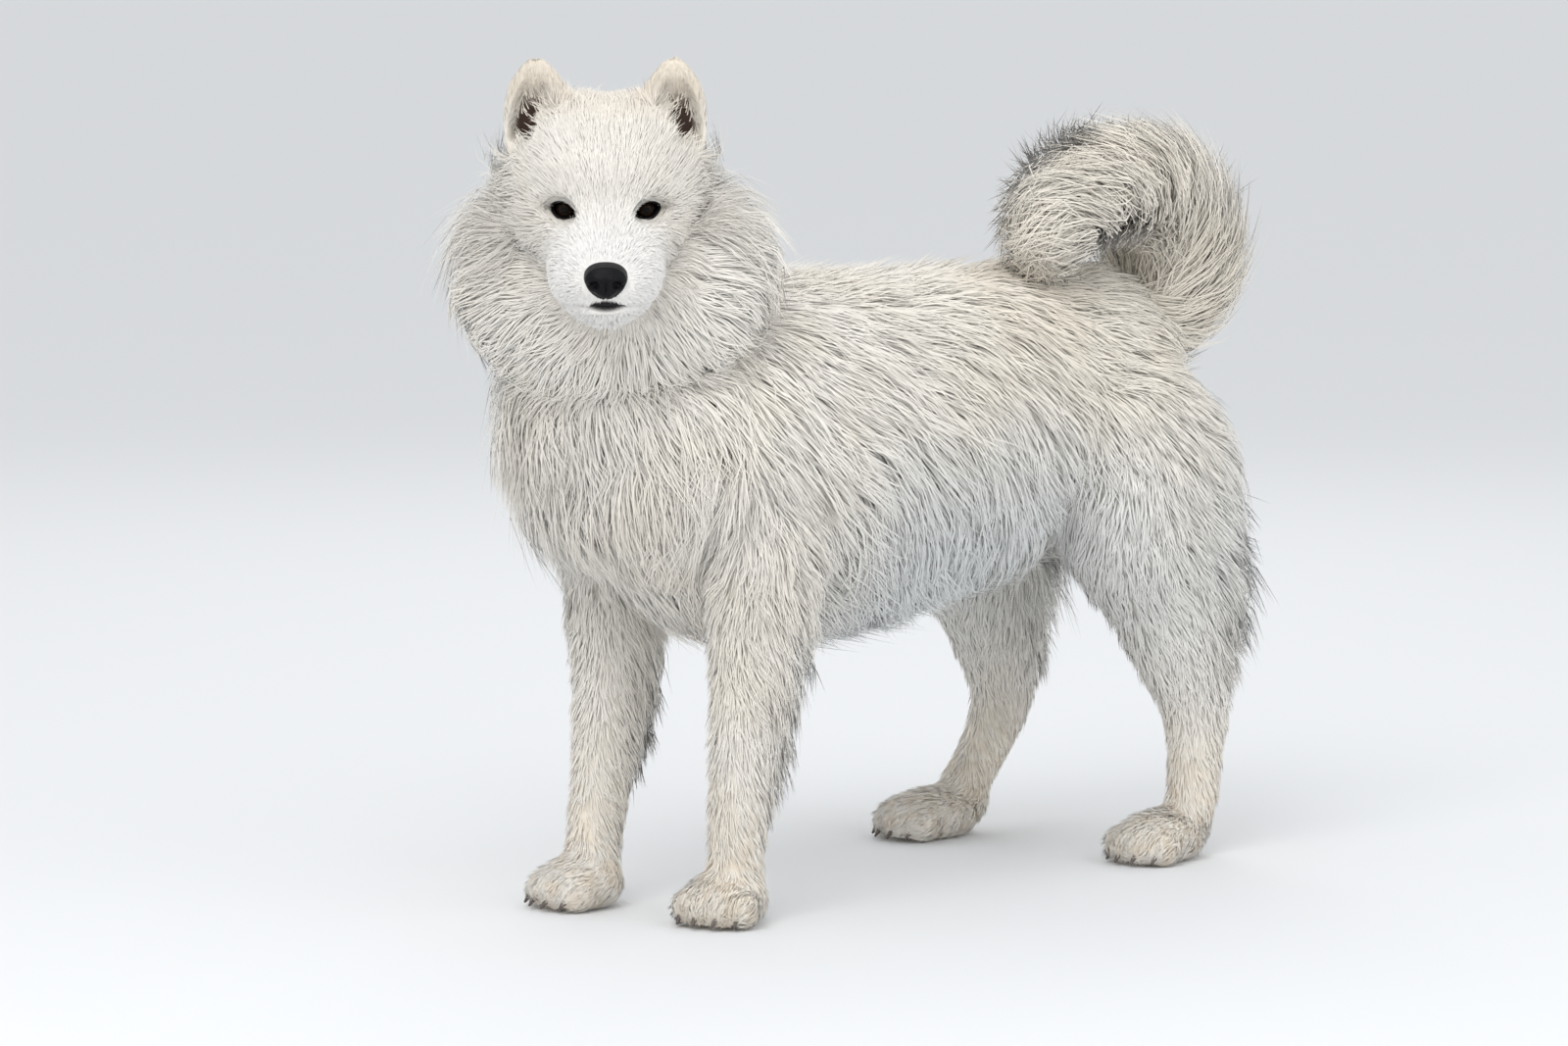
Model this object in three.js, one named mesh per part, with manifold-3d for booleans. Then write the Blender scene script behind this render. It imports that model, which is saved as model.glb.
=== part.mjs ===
// A standing samoyed, life size, as a still model: a standalone three.js example.
// Millimetres, +Z up. The dog faces -Y, so +X is its left side. Its head is turned to its left.
// Each part is a core lofted through named stations. Long coat stands on it as flat, tapered locks
// that are joined to it. Every part is then cut clear of its neighbours by a thin gap.

import * as THREE from "three";
import { mergeVertices } from "three/addons/utils/BufferGeometryUtils.js";
import Module from "manifold-3d";

const wasm = await Module();
wasm.setup();

// Driving sizes
const GAP = 0.4; // clear space between two parts that touch
const HEAD_TURN = 47.8; // degrees, to the dog's left
const HEAD_BOW = 11; // degrees, nose down
const EYE_MIDDLE = [76, -400, 637]; // between the two eyes
const EYE_APART = 34; // from the middle of the face
const EYE_RADIUS = 11.5;
const EYE_DEPTH = 8; // how far the eye's middle lies behind the front of the brow
const LID_THICKNESS = 2.6;
const CORE = 0.5; // how far a core fills the depth of the coat; locks make up the rest
const ROOT_DEPTH = 13; // how far a lock's root is sunk in its core

const vec = (x, y, z) => new THREE.Vector3(x, y, z);
const rad = THREE.MathUtils.degToRad;
const SIDEWAYS = vec(1, 0, 0);
const UPWARDS = vec(0, 0, 1);

// Repeatable random numbers, spread evenly about zero
let seed = 1;
function spread(amount) {
  seed = (seed * 1664525 + 1013904223) % 4294967296;
  return ((seed / 4294967296) * 2 - 1) * amount;
}

// Solids

// A closed solid from points and triangles, turned to face out.
function solidFrom(points, triangles) {
  let volume = 0;
  for (const [a, b, c] of triangles) volume += points[a].dot(points[b].clone().cross(points[c]));
  const vertProperties = new Float32Array(points.flatMap((p) => [p.x, p.y, p.z]));
  const triVerts = new Uint32Array(
    triangles.flatMap(([a, b, c]) => (volume > 0 ? [a, b, c] : [a, c, b])),
  );
  return new wasm.Manifold(new wasm.Mesh({ numProp: 3, vertProperties, triVerts }));
}

// A closed solid from a three.js geometry.
function solidOf(geometry) {
  const bare = geometry.clone();
  bare.deleteAttribute("normal");
  bare.deleteAttribute("uv");
  const merged = mergeVertices(bare, 1e-3);
  const at = merged.attributes.position;
  const points = Array.from({ length: at.count }, (_, i) => vec(at.getX(i), at.getY(i), at.getZ(i)));
  const index = Array.from(merged.index.array);
  const triangles = [];
  for (let i = 0; i < index.length; i += 3) {
    const [a, b, c] = index.slice(i, i + 3);
    if (a !== b && b !== c && c !== a) triangles.push([a, b, c]);
  }
  return solidFrom(points, triangles);
}

function geometryOf(solid) {
  const { vertProperties, triVerts } = solid.getMesh();
  const geometry = new THREE.BufferGeometry();
  geometry.setAttribute("position", new THREE.BufferAttribute(vertProperties, 3));
  geometry.setIndex(new THREE.BufferAttribute(triVerts, 1));
  return geometry;
}

// The same solid, carried by a matrix into another frame.
function carried(solid, matrix) {
  return solidOf(geometryOf(solid).applyMatrix4(matrix));
}

const join = (solids) => solids.reduce((a, b) => a.add(b));
const cutBy = (solid, tools) => tools.reduce((a, b) => a.subtract(b), solid);

// What is left of a solid when its loose scraps are gone.
function largest(solid) {
  return solid.decompose().reduce((a, b) => (b.volume() > a.volume() ? b : a));
}

const split = ([a, b, c, d]) => [[a, b, c], [a, c, d]];

// Four corners as two triangles, split along the diagonal that stands further from the middle.
function quad(points, [a, b, c, d], middle) {
  const stands = (p, q) => points[p].clone().add(points[q]).multiplyScalar(0.5).distanceTo(middle);
  return split(stands(a, c) > stands(b, d) ? [a, b, c, d] : [b, c, d, a]);
}

// Rings of points skinned into one closed solid, with a point at each end. A twisted band between
// two rings keeps one split all round, or where it is proud the one that stands furthest out.
function skinned(rings, first, last, proud = false) {
  const sides = rings[0].length;
  const points = [first, ...rings.flat(), last];
  const at = (ring, k) => 1 + ring * sides + (k % sides);
  const triangles = [];
  for (let k = 0; k < sides; k++) triangles.push([0, at(0, k + 1), at(0, k)]);
  for (let r = 0; r < rings.length - 1; r++) {
    const both = [...rings[r], ...rings[r + 1]];
    const middle = both.reduce((sum, p) => sum.add(p), vec(0, 0, 0)).divideScalar(both.length);
    for (let k = 0; k < sides; k++) {
      const corners = [at(r, k), at(r, k + 1), at(r + 1, k + 1), at(r + 1, k)];
      triangles.push(...(proud ? quad(points, corners, middle) : split(corners)));
    }
  }
  const end = rings.length - 1;
  for (let k = 0; k < sides; k++) triangles.push([at(end, k), at(end, k + 1), points.length - 1]);
  return solidFrom(points, triangles);
}

// A loft along stations. Each station has a centre, then how far the flesh reaches to its two
// sides, its upper and its lower side, and then the depth of the coat over each of these.
class Loft {
  constructor(stations, { across = SIDEWAYS, square = 1, sides = 16, steps = 2 } = {}) {
    const curve = (k) => new THREE.CatmullRomCurve3(stations.map((station) => vec(...station[k])));
    [this.centre, this.flesh, this.coat] = [curve(0), curve(1), curve(2)];
    Object.assign(this, { across, square, sides, steps: (stations.length - 1) * steps });
  }

  // The reaches at t: half width, up and down, with the coat filled to a share of its depth.
  reach(t, share) {
    return this.flesh.getPoint(t).addScaledVector(this.coat.getPoint(t), share);
  }

  axes(t) {
    const along = this.centre.getTangent(t);
    const up = this.across.clone().cross(along).normalize();
    return { along, up, side: along.clone().cross(up).normalize() };
  }

  // A point of the surface at t along the loft and a round it: 0 is the side, a quarter turn up.
  point(t, a, share, grow = 0) {
    const size = this.reach(t, share).addScalar(grow);
    const { side, up } = this.axes(t);
    const bulge = (x) => Math.sign(x) * Math.abs(x) ** this.square;
    const rise = bulge(Math.sin(a));
    return this.centre
      .getPoint(t)
      .addScaledVector(side, bulge(Math.cos(a)) * size.x)
      .addScaledVector(up, rise * (rise > 0 ? size.y : size.z));
  }

  solid(share, grow = 0, { from = 0, to = 1, shape = (p) => p } = {}) {
    const rings = [];
    const steps = Math.ceil(this.steps * (to - from));
    for (let i = 0; i <= steps; i++) {
      const t = from + ((to - from) * i) / steps;
      const turns = Array.from({ length: this.sides }, (_, k) => (k / this.sides) * Math.PI * 2);
      rings.push(turns.map((a) => shape(this.point(t, a, share, grow))));
    }
    const end = (t, way) => {
      const round = (this.reach(t, share).x + grow) * 0.4;
      return shape(this.centre.getPoint(t).addScaledVector(this.axes(t).along, way * round));
    };
    return skinned(rings, end(from, -1), end(to, 1));
  }
}

// Locks of hair

const STAGES = [0, 0.55, 1]; // root, waist and tip, along a lock's length
const STAGE_WIDTHS = [0.7, 1];
const STAGE_DEPTHS = [0.2, 0.16]; // thickness, as a share of the width
const SLOPE_STEP = 0.004;
const STEPS_ALONG = 10;
const LOCK_ROOM = 2; // a lock is given this many times the gap, as its facets twist
const HOLD = 4; // how much a lock keeps its way against the lie
const END = 0.02; // this close to either end of a loft there is no side to follow

// Which way a loft's core runs and faces at t and a, with the coat's depth left above it there.
function lieOfLand(loft, t, a) {
  const e = SLOPE_STEP;
  const on = THREE.MathUtils.clamp(t, 2 * e, 1 - 2 * e);
  const runs = loft.point(on + e, a, CORE).sub(loft.point(on - e, a, CORE)).divideScalar(2 * e);
  const turns = loft.point(on, a + e, CORE).sub(loft.point(on, a - e, CORE)).divideScalar(2 * e);
  const at = loft.point(on, a, CORE);
  const depth = loft.point(on, a, 1).sub(at);
  const out = runs.clone().cross(turns).normalize();
  if (out.dot(depth) < 0) out.negate();
  return { t: on, a, at, runs, turns, out, depth: depth.dot(out) };
}

// A direction laid flat on the ground whose face is given.
function laid(way, out) {
  return way.clone().addScaledVector(out, -way.dot(out)).normalize();
}

// One small step over the core; where the core ends the step runs straight on.
function onward(loft, { t, a, at, runs, turns, out, depth }, way, step) {
  const [rr, rt, tt] = [runs.dot(runs), runs.dot(turns), turns.dot(turns)];
  const [wr, wt] = [way.dot(runs), way.dot(turns)];
  const nextT = t + (step * (wr * tt - wt * rt)) / (rr * tt - rt * rt);
  const nextA = a + (step * (wt * rr - wr * rt)) / (rr * tt - rt * rt);
  const ends = nextT < END || nextT > 1 - END;
  if (ends) return { t, a, at: at.clone().addScaledVector(way, step), runs, turns, out, depth };
  return lieOfLand(loft, nextT, nextA);
}

// A lock's middle line: it follows the core along its lie while it rises to the tips of the coat.
function hairPath(loft, { t, a, lie, length, rise }) {
  let ground = lieOfLand(loft, t, a);
  let way = laid(lie, ground.out);
  let walked = 0;
  return STAGES.map((s) => {
    for (; walked < s * STEPS_ALONG; walked++) {
      ground = onward(loft, ground, way, length / STEPS_ALONG);
      way = laid(way.clone().multiplyScalar(HOLD).add(lie), ground.out);
    }
    const height = s ? ground.depth * rise * Math.sin((s * Math.PI) / 2) : -ROOT_DEPTH;
    return { middle: ground.at.clone().addScaledVector(ground.out, height), way, out: ground.out };
  });
}

// One lock, three-sided: a flat underside with a low ridge above it, and a point at each end.
function lockSolid({ path, width }, grow) {
  const rings = STAGE_WIDTHS.map((wide, i) => {
    const { middle, way, out } = path[i];
    const edge = way.clone().cross(out).multiplyScalar((width * wide) / 2 + grow * 5);
    const under = middle.clone().addScaledVector(out, -width * STAGE_DEPTHS[i] * 0.35 - grow);
    const ridge = middle.clone().addScaledVector(out, width * STAGE_DEPTHS[i] * 0.65 + grow);
    return [under.clone().add(edge), ridge, under.sub(edge)];
  });
  const heel = path[0].middle.clone().addScaledVector(path[0].way, -width * 0.25 - grow * 3);
  const tip = path[2].middle.clone().addScaledVector(path[2].way, grow * 3);
  return skinned(rings, heel, tip, true);
}

// Locks in staggered tiers over a loft, between two angles round it, as many as cover it.
function locksOf(loft, { span: [first, last], tiers, arc, length, width, lie }) {
  const locks = [];
  const [spacing, whole] = [(last - first) / (tiers - 1), Math.PI * 2];
  for (let tier = 0; tier < tiers; tier++) {
    const middle = first + spacing * tier;
    const { x, y, z } = loft.reach(middle, CORE);
    const girth = (x + (y + z) / 2) * whole * ((arc[1] - arc[0]) / 720);
    const count = Math.max(1, Math.round(girth / (width * 1.08)));
    for (let k = 0; k < count; k++) {
      const share = (k + 0.5 + (tier % 2 ? 0.25 : -0.25) + spread(0.12)) / count;
      const t = middle + spread(spacing * 0.2);
      const a = rad(THREE.MathUtils.lerp(arc[0], arc[1], share));
      const path = hairPath(loft, {
        t,
        a,
        lie: lie ?? loft.axes(THREE.MathUtils.clamp(t, 0, 1)).along,
        length: length * (1 + spread(0.15)),
        rise: 1.1 + spread(0.1),
      });
      locks.push({ path, width: width * (1 + spread(0.12)) });
    }
  }
  return locks;
}

// A maker of one part with its locks, at its own size or grown by a gap.
function furred(core, locks) {
  return (grow) => join([core(grow), ...locks.map((lock) => lockSolid(lock, grow * LOCK_ROOM))]);
}

// A ball stretched to three radii.
function ball(at, radii, grow = 0, round = 12) {
  const geometry = new THREE.SphereGeometry(1, round, Math.round(round * 0.6));
  geometry.rotateX(Math.PI / 2);
  geometry.scale(...radii.map((r) => r + grow));
  geometry.translate(...at);
  return solidOf(geometry);
}

// An outline in the plane of the first two axes, extruded along the third.
function prism(points, depth) {
  const shape = new THREE.Shape(points.map(([x, y]) => new THREE.Vector2(x, y)));
  return new THREE.ExtrudeGeometry(shape, { depth, bevelEnabled: false, steps: 1 });
}

// Body plan. A torso station runs from chest to rump, with its reach to the side, up and down.
const torsoPlan = new Loft(
  [
    [[0, -318, 388], [54, 50, 62], [34, 30, 40]],
    [[0, -280, 398], [84, 96, 92], [40, 34, 50]],
    [[0, -212, 404], [103, 130, 118], [45, 38, 56]],
    [[0, -110, 408], [108, 130, 124], [45, 38, 58]],
    [[0, -10, 412], [106, 125, 122], [42, 38, 58]],
    [[0, 90, 420], [100, 118, 112], [42, 38, 56]],
    [[0, 180, 432], [94, 106, 100], [40, 38, 60]],
    [[0, 255, 438], [85, 98, 98], [38, 36, 60]],
    [[0, 310, 432], [66, 80, 84], [36, 36, 50]],
    [[0, 338, 424], [36, 44, 46], [36, 34, 40]],
  ],
  { sides: 14, steps: 1 },
);

// From the breast up to the skull: reach to the side, to the throat and to the nape.
const neckPlan = new Loft(
  [
    [[-4, -258, 340], [64, 42, 40], [34, 30, 6]],
    [[-6, -262, 368], [86, 64, 56], [52, 42, 6]],
    [[-10, -266, 412], [92, 68, 62], [60, 44, 6]],
    [[-16, -276, 458], [90, 76, 72], [66, 46, 10]],
    [[-12, -290, 504], [82, 76, 76], [50, 28, 30]],
    [[6, -302, 548], [74, 68, 76], [12, 4, 42]],
    [[12, -318, 588], [68, 62, 72], [8, 4, 42]],
    [[12, -332, 622], [52, 48, 54], [6, 4, 32]],
  ],
  { sides: 12, steps: 1 },
);

// The tail rises from the croup and curls forward over the back, leaning to the left. Each row has
// its angle round the curl, then the flesh and the coat: to the side, the inside and the outside.
const TAIL_CURL = { middle: [284, 556], back: 78, front: 132, high: 77, lean: 0.3 };
const tailRows = [
  [-80, 17, [22, 24, 16]],
  [-50, 16, [50, 30, 56]],
  [-20, 15, [72, 34, 74]],
  [10, 15, [76, 36, 70]],
  [40, 14, [76, 38, 62]],
  [70, 13, [74, 38, 50]],
  [100, 11, [70, 38, 46]],
  [130, 9, [62, 34, 48]],
  [160, 6, [44, 22, 30]],
];

function tailCentre(degrees) {
  const { middle, back, front, high, lean } = TAIL_CURL;
  const [across, rise] = [Math.cos(rad(degrees)), Math.sin(rad(degrees))];
  const y = middle[0] + across * (across > 0 ? back : front);
  return [(degrees + 80) * lean, y, middle[1] + rise * high];
}

const tailPlan = new Loft(
  tailRows.map(([degrees, flesh, coat]) => [tailCentre(degrees), [flesh, flesh, flesh], coat]),
  { sides: 8, steps: 1 },
);
const TAIL_PARTING = 0.34; // where the plume begins, as a share of the tail

// A leg station has its reach to the side, back and front.
function frontLegPlan(side, wrist, paw) {
  return new Loft(
    [
      [[side * 62, -236, 440], [30, 44, 44], [8, 8, 8]],
      [[side * 78, -232, 392], [38, 56, 56], [18, 20, 16]],
      [[side * 91, -232, 330], [36, 48, 46], [24, 36, 18]],
      [[side * 93, -238, 276], [31, 37, 34], [17, 44, 14]],
      [[(side * 91 + wrist[0]) / 2, (wrist[1] - 240) / 2, 196], [25, 27, 25], [9, 36, 8]],
      [[...wrist, 118], [23, 23, 22], [7, 19, 6]],
      [[(wrist[0] + paw[0]) / 2, (wrist[1] + paw[1]) / 2 + 4, 66], [21, 21, 21], [6, 10, 6]],
      [[paw[0], paw[1] + 14, 34], [21, 21, 21], [5, 6, 5]],
    ],
    { sides: 9, steps: 1 },
  );
}

function hindLegPlan(side, knee, calf, shin, hock, paw) {
  return new Loft(
    [
      [[side * 50, 246, 476], [24, 46, 48], [6, 8, 8]],
      [[side * 74, 252, 430], [44, 74, 78], [26, 42, 16]],
      [[side * 90, 252, 368], [48, 80, 76], [30, 72, 22]],
      [[...knee, 304], [40, 66, 54], [28, 92, 20]],
      [[...calf, 252], [31, 48, 40], [20, 74, 16]],
      [[...shin, 200], [26, 34, 32], [14, 44, 12]],
      [[...hock, 138], [21, 27, 27], [7, 13, 9]],
      [[(hock[0] + paw[0]) / 2, (hock[1] * 2 + paw[1] + 44) / 3, 90], [20, 23, 22], [6, 10, 6]],
      [[paw[0], paw[1] + 44, 44], [20, 22, 20], [5, 8, 5]],
    ],
    { sides: 9, steps: 1 },
  );
}

const paws = {
  front_left: { at: [86, -268], turn: 22, reach: 45, wide: 42 },
  front_right: { at: [-70, -300], turn: -8, reach: 45, wide: 42 },
  hind_left: { at: [118, 270], turn: 6, reach: 60, wide: 40 },
  hind_right: { at: [-134, 214], turn: -8, reach: 60, wide: 40 },
};

const legPlans = {
  front_left: frontLegPlan(1, [87, -254], paws.front_left.at),
  front_right: frontLegPlan(-1, [-76, -272], paws.front_right.at),
  hind_left: hindLegPlan(1, [108, 238], [114, 264], [117, 286], [118, 316], paws.hind_left.at),
  hind_right: hindLegPlan(-1, [-102, 212], [-112, 246], [-120, 280], [-127, 308], paws.hind_right.at),
};

// The head has its own frame: +Y is forward, +X is the dog's right, and the eyes are at z = 0.
const headFrame = new THREE.Matrix4()
  .makeTranslation(...EYE_MIDDLE)
  .multiply(new THREE.Matrix4().makeRotationZ(rad(HEAD_TURN + 180)))
  .multiply(new THREE.Matrix4().makeRotationX(rad(-HEAD_BOW)));

// From the back of the skull to the end of the muzzle: reach to the side, up and down.
const headPlan = new Loft(
  [
    [[0, -136, 4], [38, 42, 40], [10, 5, 10]],
    [[0, -112, 8], [62, 62, 60], [18, 6, 16]],
    [[0, -80, 9], [70, 68, 70], [22, 6, 18]],
    [[0, -50, 5], [70, 72, 74], [20, 6, 14]],
    [[0, -22, -5], [65, 56, 70], [14, 5, 9]],
    [[0, 0, -20], [55, 34, 56], [6, 4, 6]],
    [[0, 25, -36], [47, 28, 43], [4, 3, 4]],
    [[0, 50, -45], [41, 22, 36], [3, 2, 3]],
    [[0, 72, -49], [34, 20, 31], [2, 2, 3]],
    [[0, 87, -51], [23, 16, 25], [2, 1, 2]],
  ],
  { sides: 18, square: 0.86 },
);

// The ruff stands round the back of the head: reach to the side, up and down.
const ruffPlan = new Loft(
  [
    [[-10, -142, -74], [60, 60, 62], [24, 16, 20]],
    [[-8, -118, -78], [80, 78, 76], [46, 28, 36]],
    [[-8, -92, -82], [88, 84, 80], [62, 42, 44]],
    [[-8, -66, -82], [88, 82, 80], [64, 46, 44]],
    [[-8, -42, -78], [80, 68, 72], [54, 36, 38]],
    [[-6, -22, -72], [64, 48, 56], [26, 18, 22]],
  ],
  { sides: 12, steps: 1 },
);

// Dents and bumps of the face: where, how wide, and how far out. Both sides are alike.
const faceForms = [
  { at: [EYE_APART, 4, 2], wide: 17, out: -7 }, // eye socket
  { at: [29, -12, 27], wide: 18, out: 5 }, // brow
  { at: [46, 18, -24], wide: 20, out: -4 }, // hollow under the eye
  { at: [27, 60, -58], wide: 22, out: 4 }, // whisker pad
  { at: [0, -6, 30], wide: 14, out: -4 }, // furrow of the brow
];

function shapeFace(p) {
  const out = p.clone().sub(vec(0, Math.min(p.y, 20), -20)).normalize();
  const moved = p.clone();
  for (const { at, wide, out: far } of faceForms) {
    for (const mirror of at[0] ? [1, -1] : [1]) {
      const away = p.distanceTo(vec(at[0] * mirror, at[1], at[2]));
      moved.addScaledVector(out, far * Math.exp(-((away / wide) ** 2)));
    }
  }
  return moved;
}

// Head pieces

const eyeBall = (side, grow) =>
  ball([side * EYE_APART, -EYE_DEPTH, 0], [EYE_RADIUS, EYE_RADIUS, EYE_RADIUS], grow);

// The almond opening between the lids, its outer corner a little higher, as a tool that cuts.
function lidOpening(side) {
  const shape = new THREE.Shape();
  shape.moveTo(-12, -2);
  shape.quadraticCurveTo(-2, 10.5, 12, 2.5);
  shape.quadraticCurveTo(3, -11, -12, -2);
  const geometry = new THREE.ExtrudeGeometry(shape, { depth: 40, bevelEnabled: false, curveSegments: 4 });
  geometry.scale(side, 1, 1);
  geometry.rotateX(Math.PI / 2);
  geometry.rotateZ(-side * rad(12));
  geometry.translate(side * EYE_APART, 32 - EYE_DEPTH, 0);
  return solidOf(geometry);
}

// The room below the line of the mouth, from well outside the chin back to its corner.
function jawRoom(gap) {
  const line = [
    [130, -68],
    [92, -69],
    [72, -72],
    [50, -70],
    [28, -65],
    [12, -57],
  ];
  const back = [
    [1, -72],
    [-16, -130],
  ];
  const outline = [
    ...line.map(([y, z]) => [y, z + gap]),
    ...back.map(([y, z]) => [y - gap, z]),
    [130, -130],
  ];
  const geometry = prism(outline, 160);
  geometry.rotateX(Math.PI / 2);
  geometry.rotateZ(Math.PI / 2);
  geometry.translate(-80, 0, 0);
  return solidOf(geometry);
}

const jawPlan = new Loft(
  [
    [[0, -10, -66], [34, 18, 16], [0, 0, 0]],
    [[0, 20, -64], [35, 18, 19], [0, 0, 0]],
    [[0, 48, -64], [31, 16, 21], [0, 0, 0]],
    [[0, 66, -66], [24, 14, 20], [0, 0, 0]],
    [[0, 78, -68], [13, 8, 13], [0, 0, 0]],
  ],
  { sides: 12, steps: 1, square: 0.86 },
);

// The lower lip, round the jaw from one corner of the mouth to the other.
const lipHalf = [
  [42, 10, -60],
  [37, 28, -67],
  [32, 50, -72],
  [24, 68, -74],
];
const lipLine = [...lipHalf, [0, 84, -71], ...lipHalf.map(([x, y, z]) => [-x, y, z]).reverse()];
const lipPlan = new Loft(
  lipLine.map((at) => [at, [3, 3, 3], [0, 0, 0]]),
  { across: UPWARDS, sides: 5, steps: 1 },
);

const nosePlan = new Loft(
  [
    [[0, 72, -40], [15, 12, 14], [0, 0, 0]],
    [[0, 82, -41], [18, 15, 17], [0, 0, 0]],
    [[0, 92, -42], [17, 14.5, 17], [0, 0, 0]],
    [[0, 98, -43], [11, 9, 11], [0, 0, 0]],
  ],
  { sides: 12, steps: 1, square: 0.85 },
);

const nostril = (side) => ball([side * 9.5, 99, -43], [4.6, 9, 3.6], 0, 8);

// Both ears: an upright rounded triangle with a cup in front.
const EAR = { base: [65, -66, 40], tip: [60, -66, 119], wide: 33, deep: 15, wall: 6 };
const EAR_TAPER = [0.94, 1, 0.88, 0.64, 0.2];

function earPlan(side, from, rise, forward, thin) {
  const stations = EAR_TAPER.map((k, i) => {
    const s = from + i * rise;
    const at = [0, 1, 2].map((n) => THREE.MathUtils.lerp(EAR.base[n], EAR.tip[n], s));
    const size = [EAR.wide * k - thin, EAR.deep * k - thin / 4, EAR.deep * k - thin / 4];
    return [[side * at[0], at[1] + forward, at[2]], size.map((r) => Math.max(r, 2)), [0, 0, 0]];
  });
  return new Loft(stations, { sides: 10, steps: 1 });
}

const earShell = (side, grow) => earPlan(side, 0, 0.25, 0, 0).solid(0, grow);
const earCup = (side) => earPlan(side, 0.3, 0.14, EAR.deep * 0.8, EAR.wall).solid(0);

// Locks of each part: where their tiers begin and end along the loft, and the arc that they cover.
const coats = {
  cheeks: { span: [0.16, 0.34], tiers: 2, length: 60, width: 56, lie: vec(0, -1, -0.5) },
  ruff: { span: [0.3, 0.92], tiers: 3, arc: [0, 360], length: 80, width: 88, lie: vec(0, -1, -0.35) },
  neck: { span: [0.14, 0.6], tiers: 3, arc: [-40, 220], length: 112, width: 88, lie: vec(0, 0.25, -1) },
  nape: { span: [0.64, 0.84], tiers: 2, arc: [220, 320], length: 92, width: 96, lie: vec(0, 1, -0.4) },
  tail: { arc: [0, 360], length: 72, width: 56 },
  torso: { span: [0.14, 0.84], tiers: 5, arc: [0, 360], length: 156, width: 124, lie: vec(0, 1, -0.35) },
  foreleg: { span: [0.26, 0.76], tiers: 4, arc: [30, 150], length: 74, width: 46, lie: vec(0, 0.3, -1) },
  thigh: { span: [0.14, 0.42], tiers: 3, arc: [-30, 210], length: 88, width: 80, lie: vec(0, 0.15, -1) },
  shank: { span: [0.52, 0.74], tiers: 2, arc: [20, 160], length: 72, width: 52, lie: vec(0, 0.2, -1) },
};

const headSolid = furred(
  (grow) => headPlan.solid(CORE, grow, { shape: shapeFace }),
  [
    ...locksOf(headPlan, { ...coats.cheeks, arc: [-75, 20] }),
    ...locksOf(headPlan, { ...coats.cheeks, arc: [160, 255] }),
  ],
);

// The head and all that it carries, in the head's frame, with each part cut clear of the ones above.
function headPieces() {
  const sides = { left: -1, right: 1 };
  const skull = headSolid(0);
  const lids = Object.values(sides).map((side) => {
    const radius = EYE_RADIUS + LID_THICKNESS;
    return ball([side * EYE_APART, -EYE_DEPTH, 0], [radius, radius, radius]);
  });
  const eyeRooms = Object.values(sides).flatMap((side) => [lidOpening(side), eyeBall(side, GAP)]);
  const head = cutBy(join([skull, ...lids]), [...eyeRooms, nosePlan.solid(0, GAP), jawRoom(GAP)]);
  const jaw = jawPlan.solid(0).add(lipPlan.solid(0)).intersect(jawRoom(0));
  const nose = cutBy(nosePlan.solid(0), [nostril(1), nostril(-1)]);
  const pieces = { head, lower_jaw: jaw.subtract(nosePlan.solid(0, GAP)), nose };
  const fatSkull = headPlan.solid(CORE, GAP, { shape: shapeFace });
  for (const [name, side] of Object.entries(sides)) {
    pieces[`eye_${name}`] = eyeBall(side, 0);
    pieces[`ear_${name}`] = cutBy(earShell(side, 0), [earCup(side), fatSkull]);
  }
  return pieces;
}

// What the ruff must stay clear of, in the head's frame
function headRoom() {
  return join([
    headSolid(GAP),
    headSolid(0),
    jawPlan.solid(0, GAP),
    lipPlan.solid(0, GAP),
    earShell(1, GAP),
    earShell(-1, GAP),
  ]);
}

// A paw in its own frame, toes to -Y, with its claws, cut flat where it stands.
function pawSolid({ reach, wide }, grow) {
  const toes = [-0.66, -0.23, 0.23, 0.66].map((s) => {
    const forward = -reach * (0.67 - s * s * 0.42);
    return { x: s * wide, y: forward };
  });
  const pads = toes.map(({ x, y }) => ball([x, y, 17], [13.5, 18, 17], grow, 7));
  const claws = toes.map(({ x, y }) => {
    const claw = new Loft([
      [[x, y - 12, 15], [3.6, 3.6, 3.6], [0, 0, 0]],
      [[x, y - 21, 10], [2.8, 2.8, 2.8], [0, 0, 0]],
      [[x, y - 26, 4], [1, 1, 1], [0, 0, 0]],
    ], { sides: 4, steps: 1 });
    return claw.solid(0, grow);
  });
  const foot = ball([0, 4, 22], [wide - 4, reach - 3, 28], grow, 9);
  const floor = new THREE.BoxGeometry(400, 400, 100);
  floor.translate(0, 0, -50);
  return join([foot, ...pads, ...claws]).subtract(solidOf(floor));
}

function pawFrame({ at, turn }) {
  const frame = new THREE.Matrix4().makeTranslation(at[0], at[1], 0);
  return frame.multiply(new THREE.Matrix4().makeRotationZ(rad(turn)));
}

// The collar lies round the neck, low at the throat and high at the nape.
const COLLAR = { from: 0.44, to: 0.5, thick: 3 };

function collarSolid(grow) {
  const { from, to, thick } = COLLAR;
  const band = neckPlan.solid(CORE, GAP + thick + grow, { from, to });
  return band.subtract(neckPlan.solid(CORE, GAP - grow));
}

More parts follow.
